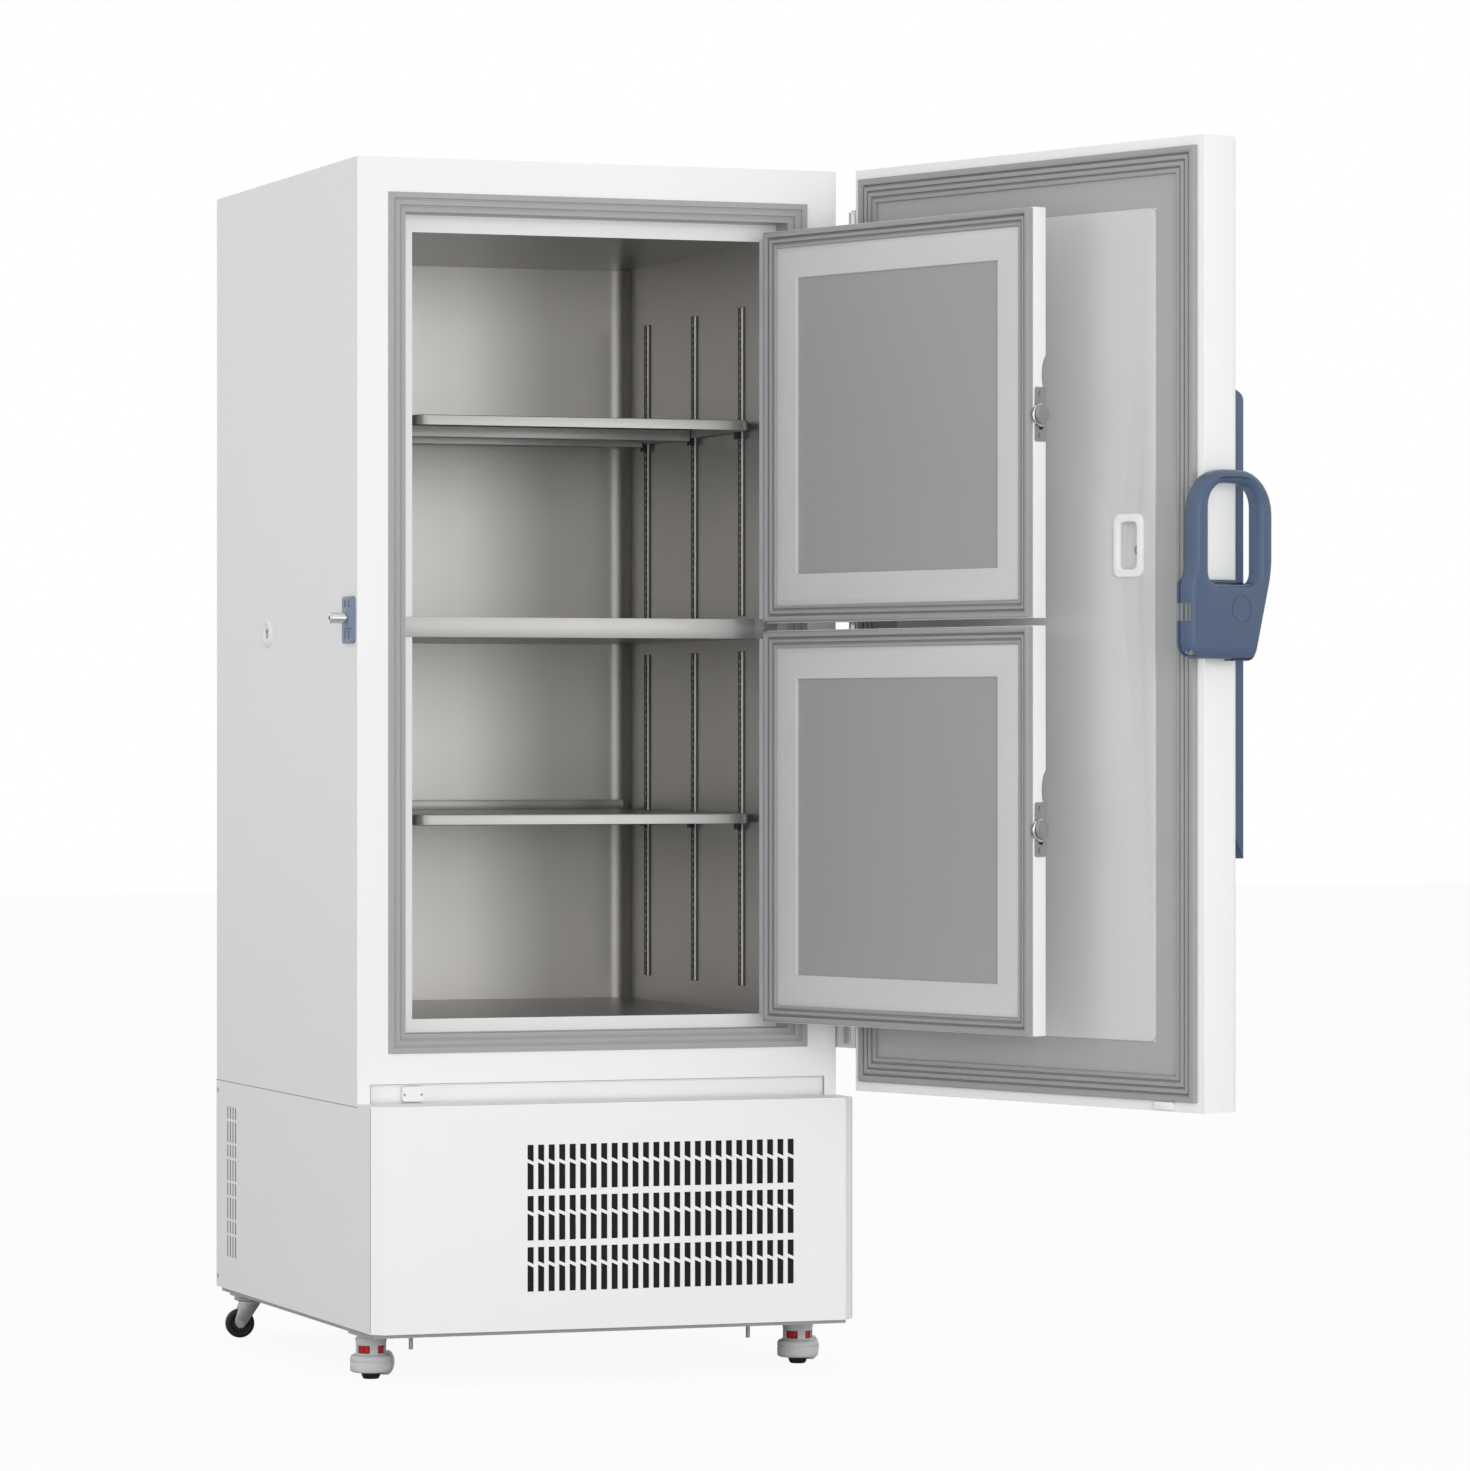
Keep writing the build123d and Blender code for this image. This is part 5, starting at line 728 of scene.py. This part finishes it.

# Slotted rails: a crown with slots that stands proud of the wall and brims beside it, both dark with painted
# shade; between crown and wall two flanks and a back strip, light with a painted highlight, which show through
# the slots
RAIL_PROUD = 4.5
RAIL_HALF = 7.5
RAIL_SHEET = 1
RAIL_GAP = 0.05
SLOT_PITCH = 12.5
SLOT_HALF_Y, SLOT_HALF_Z = 3.5, 2.4
STRIP_HALF = 6
STRIP_OFF = (0.1, 0.8)
BRIM_OFF = (0.1, 8)
BRIM_SHEET = 1.2
crowns, flanks, brims = bmesh.new(), bmesh.new(), bmesh.new()
for side in (-1, 1):
    wall = side * CHAMBER_X[1]
    crown = wall - side * RAIL_PROUD
    for y in RAIL_YS:
        for bottom, top in RAIL_SPANS:
            count = int((top - bottom) / SLOT_PITCH) - 1
            first = mid((bottom, top)) - (count - 1) * SLOT_PITCH / 2
            heights = [first + number * SLOT_PITCH for number in range(count)]
            rail = bmesh.new()
            plate(rail, [(side_rectangle(crown, around(y, RAIL_HALF), (bottom, top)), SQUARE)]
                  + [(side_rectangle(crown, around(y, SLOT_HALF_Y), around(z, SLOT_HALF_Z)), SQUARE)
                     for z in heights], (side * RAIL_SHEET, 0, 0))
            strip = bpy.data.meshes.new("rail")
            rail.to_mesh(strip)
            rail.free()
            crowns.from_mesh(strip)
            within = inset((bottom, top), RAIL_SHEET)
            for way in (-1, 1):
                slab(flanks, (crown + side * (RAIL_SHEET + RAIL_GAP), wall - side * RAIL_GAP),
                     (y + way * RAIL_HALF, y + way * (RAIL_HALF - RAIL_SHEET)), within)
                slab(brims, (wall - side * BRIM_SHEET, wall),
                     (y + way * (RAIL_HALF + BRIM_OFF[0]), y + way * (RAIL_HALF + BRIM_OFF[1])), (bottom, top))
            slab(flanks, (wall - side * STRIP_OFF[1], wall - side * STRIP_OFF[0]), around(y, STRIP_HALF),
                 within)
piece("rail_crowns", crowns, RAIL_PAINTED_SHADE, "cabinet", instead=("shelf_rails",), sharp=30)
piece("rail_flanks", flanks, RAIL_PAINTED_HIGHLIGHT, "cabinet")
piece("rail_brims", brims, RAIL_PAINTED_SHADE, "cabinet", ease=0.3)

# Machine compartment: a dark insert in each slot of the side vents, just below the painted face
VENT_TOP = 402.0
VENT_FIRST_Y, VENT_WIDTH, VENT_PITCH = 743, 6, 17
VENT_HEIGHTS = (21.0, 36.0) * 4
VENT_GAP = 4.5
VENT_COLUMNS = 4
VENT_BELOW = (0.25, 1.4)
bm = bmesh.new()
for side in (-1, 1):
    for column in range(VENT_COLUMNS):
        top = VENT_TOP
        start = VENT_FIRST_Y + VENT_PITCH * column
        for height in VENT_HEIGHTS:
            slab(bm, [side * (HALF - below) for below in VENT_BELOW], (start, start + VENT_WIDTH),
                 (top - height, top))
            top -= height + VENT_GAP
piece("vent_mesh", bm, BLACK_PLASTIC, "cabinet")

# Seams, drawn as thin grey strips of painted shadow: along the top of the side panels, up the corners behind
# the front panel, and round the recessed strip under the doors
SEAM_PROUD = 0.15
SIDE_SEAM_Z = (444.3, 445.5)
CORNER_SEAM_Y, CORNER_SEAM_Z = (-73.6, -72.6), (87, 449)
STRIP_X, STRIP_Z = 391.5, (450, 481.2)
bm = bmesh.new()
for side in (-1, 1):
    seam_x = (side * (HALF + SEAM_PROUD), side * (HALF - 1))
    slab(bm, seam_x, (1, DEPTH - 1), SIDE_SEAM_Z)
    slab(bm, seam_x, CORNER_SEAM_Y, CORNER_SEAM_Z)
    slab(bm, (side * STRIP_X, side * (STRIP_X - 0.8)), (-SEAM_PROUD, 1), (STRIP_Z[0], STRIP_Z[1] - 0.2))
slab(bm, (-STRIP_X, STRIP_X), (-SEAM_PROUD, 1), (STRIP_Z[1] - 0.7, STRIP_Z[1]))
piece("panel_seams", bm, SEAM_SHADOW_GREY, "cabinet")

# Two small marks on the door switch, and the screws at the back edge of the side panels
MARK_XS, MARK_Z = (-334.5, -306.0), (462, 466)
PANEL_SCREW_ZS = (104, 428)
bm = bmesh.new()
for x in MARK_XS:
    slab(bm, around(x, 1.5), (-4.4, -3), MARK_Z)
piece("switch_marks", bm, SEAM_SHADOW_GREY, "cabinet", ease=0.5)
bm = bmesh.new()
for side in (-1, 1):
    for z in PANEL_SCREW_ZS:
        lathe(bm, [(0, 0.5), (1.4, 0.2), (3.2, 0.9), (4.2, 0.6), (4.4, -0.6), (0, -0.6)],
              (side * HALF, DEPTH - 11, z), (side, 0, 0), 24)
piece("panel_screws", bm, ZINC, "cabinet")

# Casters, drawn about their own upright axis and turned as they stand: (distance from the front, degrees),
# and their axles as (y, z)
CASTER_X = 370.0
FRONT_STANDS, REAR_STANDS = (68, -50), (800, 80)
FRONT_AXLE, REAR_AXLE = (38, 23), (20, 25)
AXIS = (0, 0, 0)


def caster_at(x, stands):
    """Where a caster stands and how it is turned."""
    return Matrix.Translation((x, stands[0], 0)) @ Matrix.Rotation(math.radians(stands[1]), 4, "Z")


def levelling_caster(side, x):
    """Front caster: housing with windows and a well for its wheel, axle arms, wheel, foot on a thread."""
    place = caster_at(x, FRONT_STANDS)
    body, wheel, foot = f"front_caster_{side}", f"front_wheel_{side}", f"level_foot_{side}"
    bm = bmesh.new()
    lathe(bm, [(6.6, 11), (30, 11), (33, 12.5), (34, 15.5), (34, 26), (33.2, 27), (33.2, 28), (34, 29),
               (34, 34), (32.6, 37.6), (29, 39.6), (26, 40), (25.2, 41.5), (24.6, 44), (24.6, 60), (25.5, 61.5),
               (25.5, 66), (23.5, 67), (23.5, 72.4), (6.6, 72.4), (6.6, 11)], AXIS, UP, 72)
    cutters = []
    for half_x, half_y in ((40, 12), (12, 40)):
        window = bmesh.new()
        slab(window, (-half_x, half_x), (-half_y, half_y), (42, 55))
        cutters.append(window)
    well = bmesh.new()
    rod(well, 21.5, (-10.2, *FRONT_AXLE), RIGHT, 20.4, 0.5)
    piece(f"{body}_housing", bm, CAST_GREY, body, place, (body,), cuts=[*cutters, well], ease=0.5,
          sharp=50)
    bm = bmesh.new()
    plate(bm, [(side_on(-13.2, ((20, 13), (41, 15), (47, 23), (41, 32), (20, 38))), (0, 4, 5, 4, 0))],
          (3, 0, 0))
    twin(bm, (23.4, 0, 0))
    rod(bm, 4, (-14.2, *FRONT_AXLE), RIGHT, 28.4)
    piece(f"{body}_arms", bm, CAST_GREY, body, place, ease=0.6)
    bm = bmesh.new()
    lathe(bm, [(4.1, -9), (8, -9), (9, -7), (15, -7), (16, -9), (18, -9), (20, -7), (20, 7), (18, 9), (16, 9),
               (15, 7), (9, 7), (8, 9), (4.1, 9), (4.1, -9)], (0, *FRONT_AXLE), RIGHT, 64)
    piece(f"{wheel}_tread", bm, NYLON_WHITE, wheel, place, (wheel,), ease=0.5, sharp=50)
    bm = bmesh.new()
    lathe(bm, [(0, 0), (11.5, 0), (13, 1), (15.5, 6.5), (16, 8), (15, 9), (0, 9)], AXIS, UP, 64)
    piece(f"{foot}_pad", bm, RUBBER, foot, place, (foot,), ease=0.6, sharp=50)
    bm = bmesh.new()
    thread = [(0, 9)]
    for ring in range(26):
        thread += [(5.3, 9.1 + ring * 2), (6, 10.1 + ring * 2)]
    lathe(bm, thread + [(5.3, 61.2), (0, 61.2)], AXIS, UP, 32)
    piece(f"{foot}_stem", bm, ZINC, foot, place, sharp=50)


def plain_caster(side, x):
    """Rear caster: ball race, fork cheeks, bolt with its nuts, and a tyre on a hub."""
    place = caster_at(x, REAR_STANDS)
    body, wheel = f"rear_fork_{side}", f"rear_wheel_{side}"
    bm = bmesh.new()
    lathe(bm, [(6.1, 66.4), (22, 66.4), (22, 64.8), (26, 64.2), (29, 65.6), (30, 67), (30, 68.4), (28, 69.2),
               (29.4, 70), (29.4, 71.2), (27.5, 72.4), (6.1, 72.4), (6.1, 66.4)], AXIS, UP, 72)
    piece(f"{body}_race", bm, ZINC, body, place, (body,), ease=0.4, sharp=50)
    bm = bmesh.new()
    plate(bm, [(side_on(-15, ((-19, 67), (19, 67), (31.5, 25), (20, 13.5), (8.5, 25))), (2, 2, 8, 8, 8))],
          (2.5, 0, 0))
    twin(bm, (27.5, 0, 0))
    piece(f"{body}_cheeks", bm, ZINC, body, place, ease=0.7)
    bm = bmesh.new()
    rod(bm, 4, (-18, *REAR_AXLE), RIGHT, 36, 0.8)
    for start in (-18.5, 15):
        lathe(bm, [(0, 0), (7, 0), (7.4, 0.6), (7.4, 3), (7, 3.5), (0, 3.5)], (start, *REAR_AXLE), RIGHT, 6)
    piece(f"{body}_bolt", bm, ZINC, body, place)
    bm = bmesh.new()
    lathe(bm, [(15, -9.5), (17, -11), (21, -11), (24, -9), (25, -5), (25, 5), (24, 9), (21, 11), (17, 11),
               (15, 9.5), (15, -9.5)], (0, *REAR_AXLE), RIGHT, 72)
    piece(f"{wheel}_tyre", bm, RUBBER, wheel, place, (wheel,), sharp=50)
    bm = bmesh.new()
    lathe(bm, [(4.1, -10.5), (7.5, -10.5), (8.5, -8), (14, -8), (15.2, -9.6), (15.2, 9.6), (14, 8), (8.5, 8),
               (7.5, 10.5), (4.1, 10.5), (4.1, -10.5)], (0, *REAR_AXLE), RIGHT, 64)
    piece(f"{wheel}_hub", bm, BLACK_PLASTIC, wheel, place, sharp=50)


for side, x in (("left", -CASTER_X), ("right", CASTER_X)):
    levelling_caster(side, x)
    plain_caster(side, x)

# Camera, from the fit to the photograph: level, and turned about the upright
IMAGE_WIDTH = 1470
FOCAL_PIXELS = 6181.5
CAMERA_AT = (-3223.31, -9584.44, 1044.99)
CAMERA_YAW = -19.838
lens = bpy.data.cameras.new("camera")
lens.sensor_fit = "HORIZONTAL"
lens.sensor_width = 36.0
lens.lens = FOCAL_PIXELS / IMAGE_WIDTH * lens.sensor_width
lens.clip_end = 60.0
camera = bpy.data.objects.new("camera", lens)
bpy.context.scene.collection.objects.link(camera)
camera.location = TO_FRAME @ Vector(CAMERA_AT)
camera.rotation_euler = (math.radians(90), 0, math.radians(CAMERA_YAW))
bpy.context.scene.camera = camera

# Studio surround: white to the camera and in reflections, and a weaker light on the object
SURROUND_LIGHT = 0.58
world = bpy.data.worlds.new("studio")
world.use_nodes = True
bpy.context.scene.world = world
tree = world.node_tree
tree.nodes.clear()
rays = add(tree, "ShaderNodeLightPath")
seen = add(tree, "ShaderNodeMath", None, {0: (rays, "Is Camera Ray"), 1: (rays, "Is Glossy Ray")},
           operation="MAXIMUM")
seen = add(tree, "ShaderNodeMath", None, {0: (seen, "Value"), 1: (rays, "Is Transmission Ray")},
           operation="MAXIMUM")
strength = add(tree, "ShaderNodeMapRange", {"To Min": SURROUND_LIGHT, "To Max": 1.0},
               {"Value": (seen, "Value")})
sky = add(tree, "ShaderNodeBackground", {"Color": (1, 1, 1, 1)}, {"Strength": (strength, "Result")})
add(tree, "ShaderNodeOutputWorld", None, {"Surface": (sky, "Background")})

# Three large soft lamps: before the front and at the left, both hidden from reflections so that no bright
# square shows in the steel, and one at the right that is reflected and brightens the chamber's back wall
LIT_AT = (0.0, 0.4, 1.0)
for name, place, size, watts, mirrored in (
        ("front_softbox", (-1.2, -8.0, 1.5), 4.0, 285.0, False),
        ("left_softbox", (-8.0, -1.0, 1.5), 4.0, 102.0, False),
        ("right_softbox", (3.5, -8.5, 1.3), 4.2, 70.0, True)):
    light = bpy.data.lights.new(name, "AREA")
    light.shape = "SQUARE"
    light.size = size
    light.energy = watts
    lamp = bpy.data.objects.new(name, light)
    bpy.context.scene.collection.objects.link(lamp)
    lamp.visible_glossy = mirrored
    lamp.location = place
    lamp.rotation_euler = (Vector(LIT_AT) - Vector(place)).to_track_quat("-Z", "Y").to_euler()

# Pale floor: white to the camera apart from the object's soft shadow, and a duller bounce on the object
FLOOR_WHITE = 0.93
FLOOR_REACH = 30.0
FLOOR = bpy.data.materials.new("pale_floor")
FLOOR.use_nodes = True
tree = FLOOR.node_tree
tree.nodes.clear()
rays = add(tree, "ShaderNodeLightPath")
tone = add(tree, "ShaderNodeMix", {"A": linear("#D8D8D8"), "B": linear("#FFFFFF")},
           {"Factor": (rays, "Is Camera Ray")}, data_type="RGBA")
matt = add(tree, "ShaderNodeBsdfDiffuse", None, {"Color": (tone, "Result")})
white = add(tree, "ShaderNodeEmission", {"Color": (1, 1, 1, 1), "Strength": 1.0})
lifted = add(tree, "ShaderNodeMath", {1: FLOOR_WHITE}, {0: (rays, "Is Camera Ray")}, operation="MULTIPLY")
blend = add(tree, "ShaderNodeMixShader", None,
            {0: (lifted, "Value"), 1: (matt, "BSDF"), 2: (white, "Emission")})
add(tree, "ShaderNodeOutputMaterial", None, {"Surface": (blend, "Shader")})
bm = bmesh.new()
bmesh.ops.create_grid(bm, x_segments=1, y_segments=1, size=FLOOR_REACH)
floor = set_up("floor", bm)
floor.data.materials.append(FLOOR)

bpy.context.scene.view_settings.view_transform = "Standard"
bpy.context.view_layer.update()
